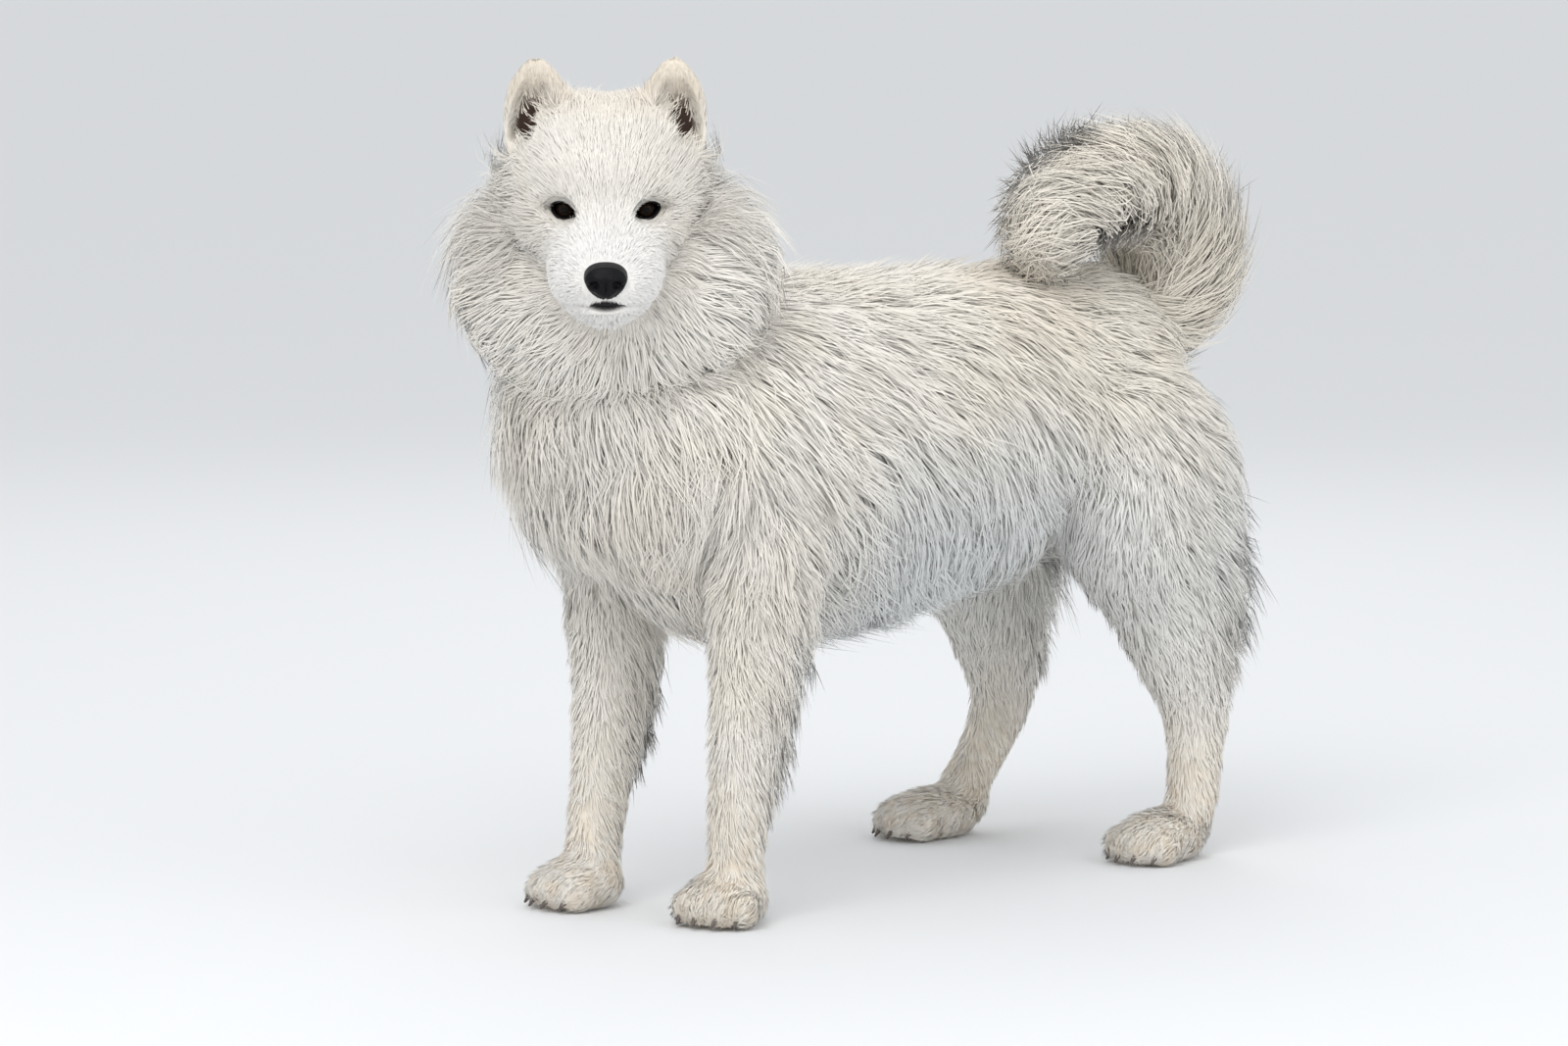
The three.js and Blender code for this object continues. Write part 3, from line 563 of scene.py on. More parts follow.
lidSettings = dict(outward=12, around=26, back=3.2, fold=0.9, foldAway=6.0, foldWide=1.5)
for side in (1, -1):
    turn = math.radians(side * lidSettings["outward"])
    rel = local - np.array([side * eyeApart, -eyeDepth, 0])
    u = (rel[:, 0] * math.cos(turn) - rel[:, 1] * math.sin(turn)) * side
    w = rel[:, 0] * math.sin(turn) + rel[:, 1] * math.cos(turn)
    v = rel[:, 2]
    pick = np.where((np.hypot(u, v) < lidSettings["around"]) & (w > -4))[0]
    far = signedDistance(np.stack([u[pick], v[pick]], 1), almond)
    flat = u[pick] ** 2 + v[pick] ** 2
    lid = np.sqrt(np.maximum((eyeRadius + lidThickness) ** 2 - flat, 9))
    ball = np.sqrt(np.maximum(eyeRadius ** 2 - flat, 4)) - lidSettings["back"]
    was = w[pick]
    draped = np.maximum(was, 0) + (lid - np.maximum(was, 0)) * smooth(8, 1.6, far)
    # a fold above the upper lid, and one below the lower
    fold = np.exp(-((far - lidSettings["foldAway"]) / lidSettings["foldWide"]) ** 2)
    draped = draped - fold * np.where(v[pick] > 0, 1.0, 0.5) * lidSettings["fold"]
    now = draped + (ball - draped) * smooth(0.5, -0.5, far)
    step = now - was
    local[pick] += vectors(step * math.sin(turn), step * math.cos(turn), 0)
    reach = far + np.maximum(0, -u[pick] - 9) * -0.25
    ids = near[pick]
    dark[ids] = np.maximum(dark[ids], smooth(3.0, 1.9, reach))
    short[ids] *= smooth(0.5, 11, far)

# the line of the mouth with its lips, and the groove below the nose
mouthSettings = dict(
    forward=(-6, 12, 28, 50, 72, 84, 130), rise=(-52, -56, -62, -66, -66, -64.5, -63),
    groove=2.6, grooveWide=1.7, lip=1.0, lipWide=2.6, lipBelow=4.2,
)
line = np.interp(local[:, 1], mouthSettings["forward"], mouthSettings["rise"])
off = local[:, 2] - line
along = smooth(6, 18, local[:, 1])
groove = np.exp(-((off / mouthSettings["grooveWide"]) ** 2)) * along
local -= normal * (groove * mouthSettings["groove"])[:, None]
lipBulge = np.exp(-(((off + mouthSettings["lipBelow"]) / mouthSettings["lipWide"]) ** 2)) * along
local += normal * (lipBulge * mouthSettings["lip"])[:, None]
crescent = np.where(off > 0, 9.0, 4.5) * (1 - (local[:, 0] / 20) ** 2)
frontLip = smooth(58, 70, local[:, 1]) * (np.abs(local[:, 0]) < 21)
dark[near] = np.maximum(dark[near], smooth(crescent, crescent - 3, np.abs(off)) * frontLip)
short[near] *= 1 - 0.8 * np.exp(-((off / 6.0) ** 2)) * along
noseAway = np.linalg.norm((local - np.array([0, 84, -42])) / np.array([1, 1, 0.9]), axis=1)
short[near] *= smooth(15, 30, noseAway)

# the hollow of each ear, open to the front, with its deepest part bare and painted near-black as shade
for side in (1, -1):
    rise = (local[:, 2] - 40) / 79
    x = side * local[:, 0] - (65 - 5 * rise)
    wide = np.interp(rise, [-0.2, 0, 0.25, 0.5, 0.75, 1.0], [26, 29, 30, 26, 18, 4])
    inside = (
        smooth(1.0, 0.5, np.abs(x) / np.maximum(wide - 5, 2))
        * smooth(-0.05, 0.12, rise) * smooth(0.85, 0.5, rise)
    )
    front = smooth(-0.1, 0.5, normal[:, 1]) * (np.abs(local[:, 1] + 66) < 26)
    local[:, 1] -= inside * front * earSize["hollow"]
    deepest = (
        smooth(0.95, 0.5, np.abs(x) / np.maximum(wide - 8, 2))
        * smooth(0.0, 0.12, rise) * smooth(0.72, 0.42, rise)
    )
    earHollowShade[near] = np.maximum(earHollowShade[near], deepest * front)

co[near] = toRow(toBody(local))
skinMesh.vertices.foreach_set("co", co.ravel())
skinMesh.update()
addLayer(skinMesh, "dark", dark)
addLayer(skinMesh, "earHollowShade", earHollowShade)
skinMesh.polygons.foreach_set("use_smooth", np.ones(len(skinMesh.polygons), bool))

# Unwrap of the skin, which the coat's patches share
bpy.ops.object.select_all(action="DESELECT")
bpy.context.view_layer.objects.active = skin
skin.select_set(True)
while skinMesh.uv_layers:
    skinMesh.uv_layers.remove(skinMesh.uv_layers[0])
skinMesh.uv_layers.new(name="OFBake")
bpy.ops.object.mode_set(mode="EDIT")
bpy.ops.mesh.select_all(action="SELECT")
bpy.ops.uv.smart_project(angle_limit=1.15, island_margin=0.002)
bpy.ops.object.mode_set(mode="OBJECT")
skinMesh = skin.data
print("skin unwrapped")

# Triangles of the skin, with their areas, corners and unwrap
skinMesh.calc_loop_triangles()
count = len(skinMesh.loop_triangles)
corner = readArray(skinMesh.loop_triangles, "vertices", 3, np.int32)
loopOf = readArray(skinMesh.loop_triangles, "loops", 3, np.int32)
uv = readArray(skinMesh.uv_layers["OFBake"].data, "uv", 2, np.float32)
co, edges, normals = coordsOf(skinMesh), edgesOf(skinMesh), normalsOf(skinMesh)
tri = co[corner]
area = np.linalg.norm(np.cross(tri[:, 1] - tri[:, 0], tri[:, 2] - tri[:, 0]), axis=1) / 2

# Coat fields on the skin's vertices, from the nearest sample of a part
def treeOf(points):
    made = KDTree(len(points))
    for i, p in enumerate(points):
        made.insert(p, i)
    made.balance()
    return made


def isKind(*names):
    return np.isin(kindOf, [kinds.index(name) for name in names])


kinds = list(coatSettings)
sampleTree = treeOf(np.vstack([toRow(s["at"]) for s in samples]))
sampleKind = np.concatenate([np.full(len(s["at"]), kinds.index(s["kind"])) for s in samples])
nearest = np.array([sampleTree.find(p)[1] for p in co])
kindOf = sampleKind[nearest]
base, slope, dense, wide = (
    np.array([s[key] for s in coatSettings.values()], float)[kindOf]
    for key in ("base", "slope", "dense", "wide")
)
depth = np.concatenate([s["depth"] for s in samples])[nearest]
lie = np.vstack([s["lie"] for s in samples])[nearest]
bodyAt = (co - shift) * 1000
headAt = toHead(bodyAt)
isFace, isRuff, isNeck, isEar = isKind("head", "jaw"), isKind("ruff"), isKind("neck"), isKind("ear")
hx, hy, hz = headAt.T
# on the face the hair runs away from the nose, out and down on the cheeks, and round the eyes
away = unit(headAt - np.array([0, 115, -38]))
cheek = smooth(15, -25, hz) * smooth(18, 50, np.abs(hx))
away += vectors(np.sign(hx) * 0.35 * cheek, 0, -0.5 * cheek)
cheekSide = smooth(45, 64, np.abs(hx)) * smooth(-15, -50, hy)
away += vectors(np.sign(hx) * 0.25 * cheekSide, 0, -0.4 * cheekSide)
nape = smooth(-95, -128, hy)
away += vectors(0, 0, -1.3 * nape)
for side in (1, -1):
    fromEye = headAt - np.array([side * eyeApart, 3, 0])
    nearEye = np.exp(-((np.linalg.norm(fromEye, axis=1) / 18) ** 2))
    away += unit(fromEye) * (1.7 * nearEye)[:, None]
lie = np.where(isFace[:, None], turnOut(unit(away)), lie)
# the tail's hair runs along it and fans out from the curl's middle
tailLie = dict(middle=(280, 552), fan=0.3, along=0.8)
fan = unit(vectors(0, bodyAt[:, 1] - tailLie["middle"][0], bodyAt[:, 2] - tailLie["middle"][1]))
lie = np.where(isKind("tail")[:, None], unit(fan * tailLie["fan"] + lie * tailLie["along"]), lie)
spreadOut = unit(vectors((hx + 8) * 0.85, -58.0, (hz + 72) * 0.5 - 62))
lie = np.where(isRuff[:, None], turnOut(spreadOut), lie)
behind = smooth(-285, -215, bodyAt[:, 1])
down = unit(vectors((bodyAt[:, 0] + 10) / 90 * 0.35, 0.15 + 0.8 * behind, -1 + 0.5 * behind))
lie = np.where(isNeck[:, None], down, lie)
# places where the coat is deeper, and by how many millimetres
deeper = dict(fringe=22, puff=10, brow=4, mane=6, chest=16, crown=5, chin=2.5, nape=10)
longer = dict(cheeks=9, chin=8, nape=10, belly=18)
muzzle = smooth(-12, 40, hy) * isFace
# the cheeks' long hair fills the hollow between head and ruff
fringe = isFace * smooth(30, 62, np.abs(hx)) * smooth(-10, -55, hy) * smooth(44, 8, hz) * 1.15
puff = isFace * smooth(26, 48, np.abs(hx)) * smooth(22, -6, hy) * smooth(4, -20, hz)
brow = isFace * np.exp(-(((np.abs(hx) - 33) / 14) ** 2 + ((hz - 21) / 8) ** 2)) * smooth(-60, -20, hy)
mane = isRuff * smooth(20, 75, np.abs(hx + 8)) * smooth(-90, -30, hz)
depth = (
    np.where(isFace, np.maximum(depth, 3.0), depth)
    + fringe * deeper["fringe"] + puff * deeper["puff"] + brow * deeper["brow"] + mane * deeper["mane"]
)
chest = isNeck * np.clip(normals @ np.array([-0.69, -0.72, 0]), 0, 1) * smooth(360, 430, bodyAt[:, 2])
depth = depth + chest * deeper["chest"]
crown = isFace * smooth(20, 50, hz) * smooth(-20, -60, hy) * smooth(6, 24, np.abs(hx))
depth = depth + crown * deeper["crown"]
chin = isFace * smooth(-70, -78, hz) * smooth(30, 60, hy)
depth = depth + chin * deeper["chin"] + isFace * nape * deeper["nape"]
faceBase = (
    base * (1 - 0.4 * muzzle) + longer["cheeks"] * smooth(0, -90, hy)
    + chin * longer["chin"] + nape * longer["nape"]
)
base = np.where(isFace, faceBase, base)
fields = np.column_stack([lie, base, slope, dense, wide, depth])
fields = relax(fields, edges, times=12, hold=0.2)


def softened(where, times):
    return relax(where[:, None].astype(float), edges, times)[:, 0]


# no long hair on the ears or close about them
nearEar = softened(np.where(isEar, 1, isFace * smooth(24, 40, hz) * smooth(42, 54, np.abs(hx))), 4)
lieField = unit(fields[:, :3])
baseField = np.minimum(fields[:, 3], 9 + 30 * (1 - nearEar))
depthField = np.minimum(fields[:, 7], 3 + 40 * (1 - nearEar))
earTip = isEar * smooth(95, 112, hz)
earFoot = isEar * smooth(66, 52, hz) * smooth(56, 72, np.abs(hx))
keeps = short * (1 - 0.5 * earTip)
belly = isKind("torso") * smooth(470, 380, bodyAt[:, 2]) * smooth(-0.5, -0.1, -np.abs(normals[:, 2]))
lengthField = baseField + fields[:, 4] * depthField + longer["belly"] * softened(belly, 8)
lengthField = lengthField * (0.35 + 0.65 * keeps)
heightField = (depthField + 1.5) * (0.25 + 0.75 * keeps)
wideField = fields[:, 6] * (0.75 + 0.25 * keeps)
overCollar = isNeck * smooth(425, 440, bodyAt[:, 2]) * smooth(505, 480, bodyAt[:, 2])
denseField = (
    fields[:, 5] * (1 + 0.5 * (1 - keeps)) * (1 - 0.93 * earHollowShade)
    * (1 + 0.7 * overCollar) * (1 - 0.95 * earFoot)
)
print("fields ready")

# Roots: spread over the skin by the density of each place
perTriangle = area * 1e6 * (denseField[corner].mean(1)) / 1000
perTriangle *= 1 - smooth(0.35, 0.8, dark[corner].max(1))
perTriangle *= tri[:, :, 2].mean(1) > 0.004
budget = dict(triangles=1430000, perPiece=170000, longFrom=22)  # a long tuft has twice the faces
trianglesEach = np.where(lengthField[corner].mean(1) < budget["longFrom"], 6, 12)
scale = min(1.0, budget["triangles"] / (perTriangle * trianglesEach).sum())
print("tufts wanted", int(perTriangle.sum()), "scale", round(scale, 3))
chosen = rng.poisson(perTriangle * scale)
triOf = np.repeat(np.arange(count), chosen)
r1, r2 = np.sqrt(rng.random(len(triOf))), rng.random(len(triOf))
bary = np.stack([1 - r1, r1 * (1 - r2), r1 * r2], 1)


def onSkin(values):
    if values.ndim == 2:
        return (values[corner[triOf]] * bary[..., None]).sum(1)
    return (values[corner[triOf]] * bary).sum(1)


def spread(number):
    return rng.random(number) * 2 - 1


root = onSkin(co)
rootOut = unit(onSkin(normals))
rootUv = (uv[loopOf[triOf]] * bary[..., None]).sum(1)
length = onSkin(lengthField)
height = onSkin(heightField)
breadth = onSkin(wideField)
kindRoot = kindOf[corner[triOf]][:, 0]
total = len(root)
print("tufts", total)

# Clumps draw their hairs together and share a swerve, so that the coat breaks into locks
clumpSettings = dict(
    long=13, short=5, draw=0.5, swerve=0.3, wave=0.09, swirl=0.75, ruffSwirl=0.4, swirlScale=9,
    tierScale=15, tiers=0.3, leastLength=0.82, leastLift=0.72, more=0.36, under=0.3, stray=0.07,
)
longness = smooth(14, 40, length)
order = rng.permutation(total)
spacing = (clumpSettings["short"] + (clumpSettings["long"] - clumpSettings["short"]) * longness) / 1000
cellSize = 0.015
beside = list(itertools.product((-1, 0, 1), repeat=3))
cells, leaders = {}, []


def isCrowded(i, key):
    for dx, dy, dz in beside:
        for j in cells.get((key[0] + dx, key[1] + dy, key[2] + dz), ()):
            d = root[i] - root[j]
            if d[0] * d[0] + d[1] * d[1] + d[2] * d[2] < spacing[i] * spacing[i]:
                return True
    return False


for i in order:
    key = tuple(np.floor(root[i] / cellSize).astype(int))
    if not isCrowded(i, key):
        cells.setdefault(key, []).append(i)
        leaders.append(i)
leaders = np.array(leaders)
leaderTree = treeOf(root[leaders])
clump = np.array([leaderTree.find(p)[1] for p in root])
clumpRoot = root[leaders[clump]]
swirl = np.array([noise.noise(Vector(root[i] * clumpSettings["swirlScale"])) for i in leaders])
tiers = np.array([noise.noise(Vector(root[i] * clumpSettings["tierScale"] + 7)) for i in leaders])
calm = np.where(kindRoot[leaders] == kinds.index("ruff"), clumpSettings["ruffSwirl"], 1)
swerve = spread(len(leaders)) * clumpSettings["swerve"] + swirl * clumpSettings["swirl"] * calm
stretch = clumpSettings["leastLength"] + rng.random(len(leaders)) * clumpSettings["more"]
lift = clumpSettings["leastLift"] + rng.random(len(leaders)) * clumpSettings["more"]
lift = lift + tiers * clumpSettings["tiers"]
curl = spread(len(leaders))
print("clumps", len(leaders))

bvh = BVHTree.FromPolygons([Vector(p) for p in co], corner.tolist())
stageAt = [0, 0.24, 0.6, 1]  # along a hair, from root to tip
stages, hold = len(stageAt) - 1, 2.5  # hold is how much a hair keeps its way
fine = length < budget["longFrom"]
# undercoat fills between the clumps, and a few fly away
under = rng.random(total) < clumpSettings["under"]
stray = rng.random(total) < clumpSettings["stray"]
tailHair = kindRoot == kinds.index("tail")
length = length * stretch[clump] * (0.85 + rng.random(total) * 0.3) * np.where(under, 0.75, 1)
height = (
    height * lift[clump] * (0.7 + rng.random(total) * 0.4)
    * np.where(under, 0.6, 1) * np.where(stray, 1.25, 1)
)
breadth = breadth * np.where(under, 1.25, 1) * np.where(stray, 0.6, 1)
wander = np.where(stray, 0.5, 0.18) + np.where(tailHair, 0.08, 0)
angle = swerve[clump] * (0.35 + 0.65 * longness) + spread(total) * wander
ground, face, out = root, triOf, rootOut


def lieAt(faces, outward, twist):
    way = unit(lieField[corner[faces]].mean(1))
    way = unit(way - outward * (way * outward).sum(1, keepdims=True))
    sideways = np.cross(outward, way)
    return way * np.cos(twist)[:, None] + sideways * np.sin(twist)[:, None]


way = lieAt(face, out, angle)
path, ways, outs = [ground], [way], [out]
for k in range(stages):
    ahead = ground + way * (length * (stageAt[k + 1] - stageAt[k]) / 1000)[:, None]
    hits = [bvh.find_nearest(p) for p in ahead]
    onto, out, face = (np.array([h[i] for h in hits]) for i in range(3))
    way = way * hold + lieAt(face, out, angle)
    way = unit(way - out * (way * out).sum(1, keepdims=True))
    # where the skin ends or folds, the hair runs on past it
    ground = onto + (ahead - onto) * np.where(tailHair, 0.7, 0.45)[:, None]
    path.append(ground)
    ways.append(way)
    outs.append(out)
print("paths ready")

draw = clumpSettings["draw"] * (0.25 + 0.75 * longness) * np.where(under | stray, 0.2, 1)
pull = clumpRoot - root
pull = pull - rootOut * (pull * rootOut).sum(1, keepdims=True)
centres, sidesAt = [], []
for k, s in enumerate(stageAt):
    rise = height * (0.5 * math.sin(s * math.pi / 2) + 0.5 * s) / 1000 if k else np.full(total, -0.002)
    sideways = np.cross(ways[k], outs[k])
    bend = curl[clump] * clumpSettings["wave"] * length / 1000 * math.sin(s * math.pi * 0.9)
    drawn = pull * (draw * s ** 1.3)[:, None]
    centres.append(path[k] + outs[k] * rise[:, None] + drawn + sideways * bend[:, None])
    sidesAt.append(sideways)
roll = spread(total) * 0.7
# tips stay above the floor and near the width of the solids
room = dict(floor=0.0012, past=0.006, pull=0.75)
edgeX = cadHigh[0] + room["past"]
for p in centres:
    p[:, 2] = np.maximum(p[:, 2], room["floor"])
    p[:, 0] -= np.sign(p[:, 0]) * np.maximum(np.abs(p[:, 0]) - edgeX, 0) * room["pull"]

# Tufts as closed, three-sided spindles: from a point in the skin through one or two rings to the tip
tuftSettings = dict(patch=0.003, softness=0.45, faceFromRoot=0.6, bodyFromRoot=0.15, widths=(1.0, 0.8))
patch = tuftSettings["patch"]
fromRoot = np.where(
    kindRoot <= kinds.index("ruff"), tuftSettings["faceFromRoot"], tuftSettings["bodyFromRoot"],
)[:, None]


def tuftArrays(ids, single):
    rings = [1] if single else [1, 2]
    n, per = len(ids), len(rings) * 3 + 2
    points, facing = np.empty((n, per, 3)), np.empty((n, per, 3))
    tint, uvs = np.empty((n, per)), np.empty((n, per, 2))
    outAt = lambda k: outs[0][ids] * fromRoot[ids] + outs[k][ids] * (1 - fromRoot[ids])
    facing[:, 0], facing[:, -1] = outs[0][ids], unit(outAt(-1))
    points[:, 0], points[:, -1] = centres[0][ids], centres[-1][ids]
    tint[:, 0], tint[:, -1] = 0, 1
    toEnd = np.array([0, patch / 2])
    uvs[:, 0], uvs[:, -1] = rootUv[ids] - toEnd, rootUv[ids] + toEnd
    c, s = np.cos(roll[ids])[:, None], np.sin(roll[ids])[:, None]
    for r, k in enumerate(rings):
        across = sidesAt[k][ids] * c + outs[k][ids] * s
        above = outs[k][ids] * c - sidesAt[k][ids] * s
        half = (breadth[ids] * tuftSettings["widths"][r] / 2 / 1000)[:, None]
        for j, (reach, rise) in enumerate(((1, -0.3), (0, 0.6), (-1, -0.3))):
            at = 1 + r * 3 + j
            points[:, at] = centres[k][ids] + across * half * reach + above * half * rise
            facing[:, at] = unit(outAt(k) + (across * reach + above * rise) * tuftSettings["softness"])
            tint[:, at] = stageAt[k]
            uvs[:, at, 0] = rootUv[ids, 0] + reach * patch / 2
            uvs[:, at, 1] = rootUv[ids, 1] + (stageAt[k] - 0.5) * patch
    faces, last = [], 1 + (len(rings) - 1) * 3
    for j in range(3):
        turned = (j + 1) % 3
        faces.append((0, 1 + j, 1 + turned))
        for first in range(1, last, 3):
            a, b = first + j, first + turned
            faces += [(a, a + 3, b + 3), (a, b + 3, b)]
        faces.append((last + j, per - 1, last + turned))
    index = (np.array(faces)[None] + (np.arange(n) * per)[:, None, None]).reshape(-1, 3)
    points[..., 2] = np.maximum(points[..., 2], room["floor"] / 2)
    uvs = np.clip(uvs.reshape(-1, 2), 0, 1)
    return points.reshape(-1, 3), index, tint.ravel(), uvs, facing.reshape(-1, 3)


def coatPiece(name, ids, material):
    parts, offset = [], 0
    for single in (False, True):
        group = ids[fine[ids] == single]
        if len(group):
            points, faces, tint, uvs, facing = tuftArrays(group, single)
            parts.append((points, faces + offset, tint, uvs, facing))
            offset += len(points)
    points, faces, tint, uvs, facing = (np.concatenate(part) for part in zip(*parts))
    mesh = bpy.data.meshes.new(name)
    mesh.vertices.add(len(points))
    mesh.vertices.foreach_set("co", points.astype(np.float32).ravel())
    mesh.loops.add(len(faces) * 3)
    mesh.loops.foreach_set("vertex_index", faces.astype(np.int32).ravel())
    mesh.polygons.add(len(faces))
    mesh.polygons.foreach_set("loop_start", np.arange(0, len(faces) * 3, 3, dtype=np.int32))
    mesh.polygons.foreach_set("use_smooth", np.ones(len(faces), bool))
    layer = mesh.uv_layers.new(name="OFBake")
    layer.data.foreach_set("uv", uvs[faces.ravel()].astype(np.float32).ravel())
    addLayer(mesh, "along", tint)
    mesh.update()
    mesh.validate()
    mesh.normals_split_custom_set_from_vertices(facing.tolist())
    mesh.materials.append(material)
    made = bpy.data.objects.new(name, mesh)
    bpy.context.scene.collection.objects.link(made)
    return made


# Materials

def newGroup(name, inputs, outputs):
    group = bpy.data.node_groups.new(name, "ShaderNodeTree")
    for label, kind, value in inputs:
        socket = group.interface.new_socket(label, in_out="INPUT", socket_type=kind)
        socket.default_value = value
    for label, kind in outputs:
        group.interface.new_socket(label, in_out="OUTPUT", socket_type=kind)
    return group, group.nodes.new("NodeGroupInput"), group.nodes.new("NodeGroupOutput")


def mathNode(tree, operation, *values, clamp=False):
    node = tree.nodes.new("ShaderNodeMath")
    node.operation, node.use_clamp = operation, clamp
    for i, value in enumerate(values):
        if isinstance(value, (int, float)):
            node.inputs[i].default_value = value
        else:
            tree.links.new(value, node.inputs[i])
    return node.outputs[0]


def mixColor(tree, factor, a, b, blend="MIX"):
    node = tree.nodes.new("ShaderNodeMix")
    node.data_type, node.blend_type = "RGBA", blend
    for socket, value in ((node.inputs[0], factor), (node.inputs[6], a), (node.inputs[7], b)):
        if isinstance(value, (int, float, tuple)):
            socket.default_value = value
        else:
            tree.links.new(value, socket)
    return node.outputs[2]


def ramp(tree, value, low, high):
    node = tree.nodes.new("ShaderNodeMapRange")
    node.interpolation_type = "SMOOTHSTEP"
    tree.links.new(value, node.inputs[0])
    node.inputs[1].default_value, node.inputs[2].default_value = low, high
    return node.outputs[0]


# the shade colour is not the coat's own: it is painted shade, a cool grey for the shade below the body
coatColours = dict(
    white=(0.97, 0.925, 0.85, 1), cream=(0.93, 0.845, 0.71, 1), biscuit=(0.86, 0.71, 0.53, 1),
    paintedShade=(0.80, 0.815, 0.805, 1), muzzle=(0.975, 0.955, 0.925, 1),
)

# The markings and painted shade: cream over the back, biscuit at ears and feet, a cool painted shade
# below, white in front
markingsAndShade, marksIn, marksOut = newGroup(
    "coat markings and painted shade",
    [(label.capitalize(), "NodeSocketColor", colour) for label, colour in coatColours.items()]
    + [("Cream Amount", "NodeSocketFloat", 0.75)],
    [("Color", "NodeSocketColor")],
)


def objectPlace(tree):
    return tree.nodes.new("ShaderNodeTexCoord").outputs["Object"]


def valueOf(tree, name):
    node = tree.nodes.new("ShaderNodeAttribute")
    node.attribute_name = name
    return node.outputs["Fac"]


def noiseOf(scale):
    node = markingsAndShade.nodes.new("ShaderNodeTexNoise")
    node.inputs["Scale"].default_value = scale
    node.inputs["Detail"].default_value = 2
    markingsAndShade.links.new(where, node.inputs["Vector"])
    return node.outputs[0]


def zone(value, low, high):
    return ramp(markingsAndShade, value, low, high)


def times(a, b):
    return mathNode(markingsAndShade, "MULTIPLY", a, b)


def rest(value):
    return mathNode(markingsAndShade, "SUBTRACT", 1.0, value)


where = objectPlace(markingsAndShade)
split = markingsAndShade.nodes.new("ShaderNodeSeparateXYZ")
markingsAndShade.links.new(where, split.inputs[0])
_, y, z = split.outputs
patches, streaks = noiseOf(9), noiseOf(70)
back = times(zone(y, -0.2, 0.12), zone(z, 0.34, 0.52))
mottled = mathNode(markingsAndShade, "ADD", times(back, 0.6), times(zone(patches, 0.38, 0.68), 0.5))
creamed = mathNode(markingsAndShade, "MULTIPLY", mottled, marksIn.outputs["Cream Amount"], clamp=True)
ears = times(zone(z, 0.705, 0.75), 0.4)
feet = times(rest(zone(z, 0.03, 0.16)), times(zone(streaks, 0.35, 0.7), 0.5))
# painted shade: a cool grey on the lower flank and belly, weaker toward the rear
belly = times(rest(zone(z, 0.30, 0.47)), zone(z, 0.1, 0.24))
belly = times(times(belly, zone(y, -0.19, -0.04)), rest(times(zone(y, 0.1, 0.28), 0.55)))
fromNose = markingsAndShade.nodes.new("ShaderNodeVectorMath")
fromNose.operation = "DISTANCE"
markingsAndShade.links.new(where, fromNose.inputs[0])
fromNose.inputs[1].default_value = tuple(toRow(toBody([(0, 70, -50)]))[0])
snout = rest(zone(fromNose.outputs["Value"], 0.035, 0.11))
tinted = marksIn.outputs["White"]
for amount, label in (
    (creamed, "Cream"), (ears, "Biscuit"), (feet, "Biscuit"), (belly, "Paintedshade"), (snout, "Muzzle"),
):
    tinted = mixColor(markingsAndShade, amount, tinted, marksIn.outputs[label])
markingsAndShade.links.new(tinted, marksOut.inputs["Color"])


def newMaterial(name, sockets):
    material = bpy.data.materials.new(name)
    material.use_nodes = True
    shader = material.node_tree.nodes["Principled BSDF"]
    for label, value in sockets.items():
        shader.inputs[label].default_value = value
    return material, material.node_tree, shader


def markingsAndShadeIn(tree):
    node = tree.nodes.new("ShaderNodeGroup")
    node.node_tree = markingsAndShade
    return node.outputs[0]


hairSettings = dict(rootShade=(0.95, 0.95, 0.95, 1), sheen=0.5, sheenRoughness=0.45, roughness=0.85)
coatMaterial, tree, shader = newMaterial("white coat", {
    "Roughness": hairSettings["roughness"], "Specular IOR Level": 0.1,
    "Sheen Weight": hairSettings["sheen"], "Sheen Roughness": hairSettings["sheenRoughness"],
})
marks = markingsAndShadeIn(tree)
# each hair is darker toward its root by rootShade: painted shade between the tufts
rootward = ramp(tree, valueOf(tree, "along"), 0.0, 0.75)
shaded = mixColor(tree, 1.0, marks, hairSettings["rootShade"], "MULTIPLY")
tree.links.new(mixColor(tree, rootward, shaded, marks), shader.inputs["Base Color"])

# the ear colour is painted shade: near-black for the deep part of the ear hollows
skinColours = dict(
    tint=(0.93, 0.92, 0.90, 1), ear=(0.055, 0.034, 0.026, 1), black=(0.012, 0.010, 0.011, 1),
)
skinMaterial, tree, shader = newMaterial("skin", {"Roughness": 0.8, "Specular IOR Level": 0.12})
below = mixColor(tree, 1.0, markingsAndShadeIn(tree), skinColours["tint"], "MULTIPLY")
# the deepest part of each ear's hollow is painted near-black: painted shade on bare skin
hollowShaded = mixColor(tree, valueOf(tree, "earHollowShade"), below, skinColours["ear"])
darkness = valueOf(tree, "dark")
tree.links.new(mixColor(tree, darkness, hollowShaded, skinColours["black"]), shader.inputs["Base Color"])
wet = tree.nodes.new("ShaderNodeMapRange")
tree.links.new(darkness, wet.inputs[0])
wet.inputs[3].default_value, wet.inputs[4].default_value = 0.85, 0.38
tree.links.new(wet.outputs[0], shader.inputs["Roughness"])

skinMesh.materials.clear()
skinMesh.materials.append(skinMaterial)
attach(skin, "root")
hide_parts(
    "head", "lower_jaw", "ear_left", "ear_right", "ruff", "neck", "torso", "tail_base", "tail_plume",
    *[f"{part}_{name}" for part in ("leg", "paw") for name in paws],
)

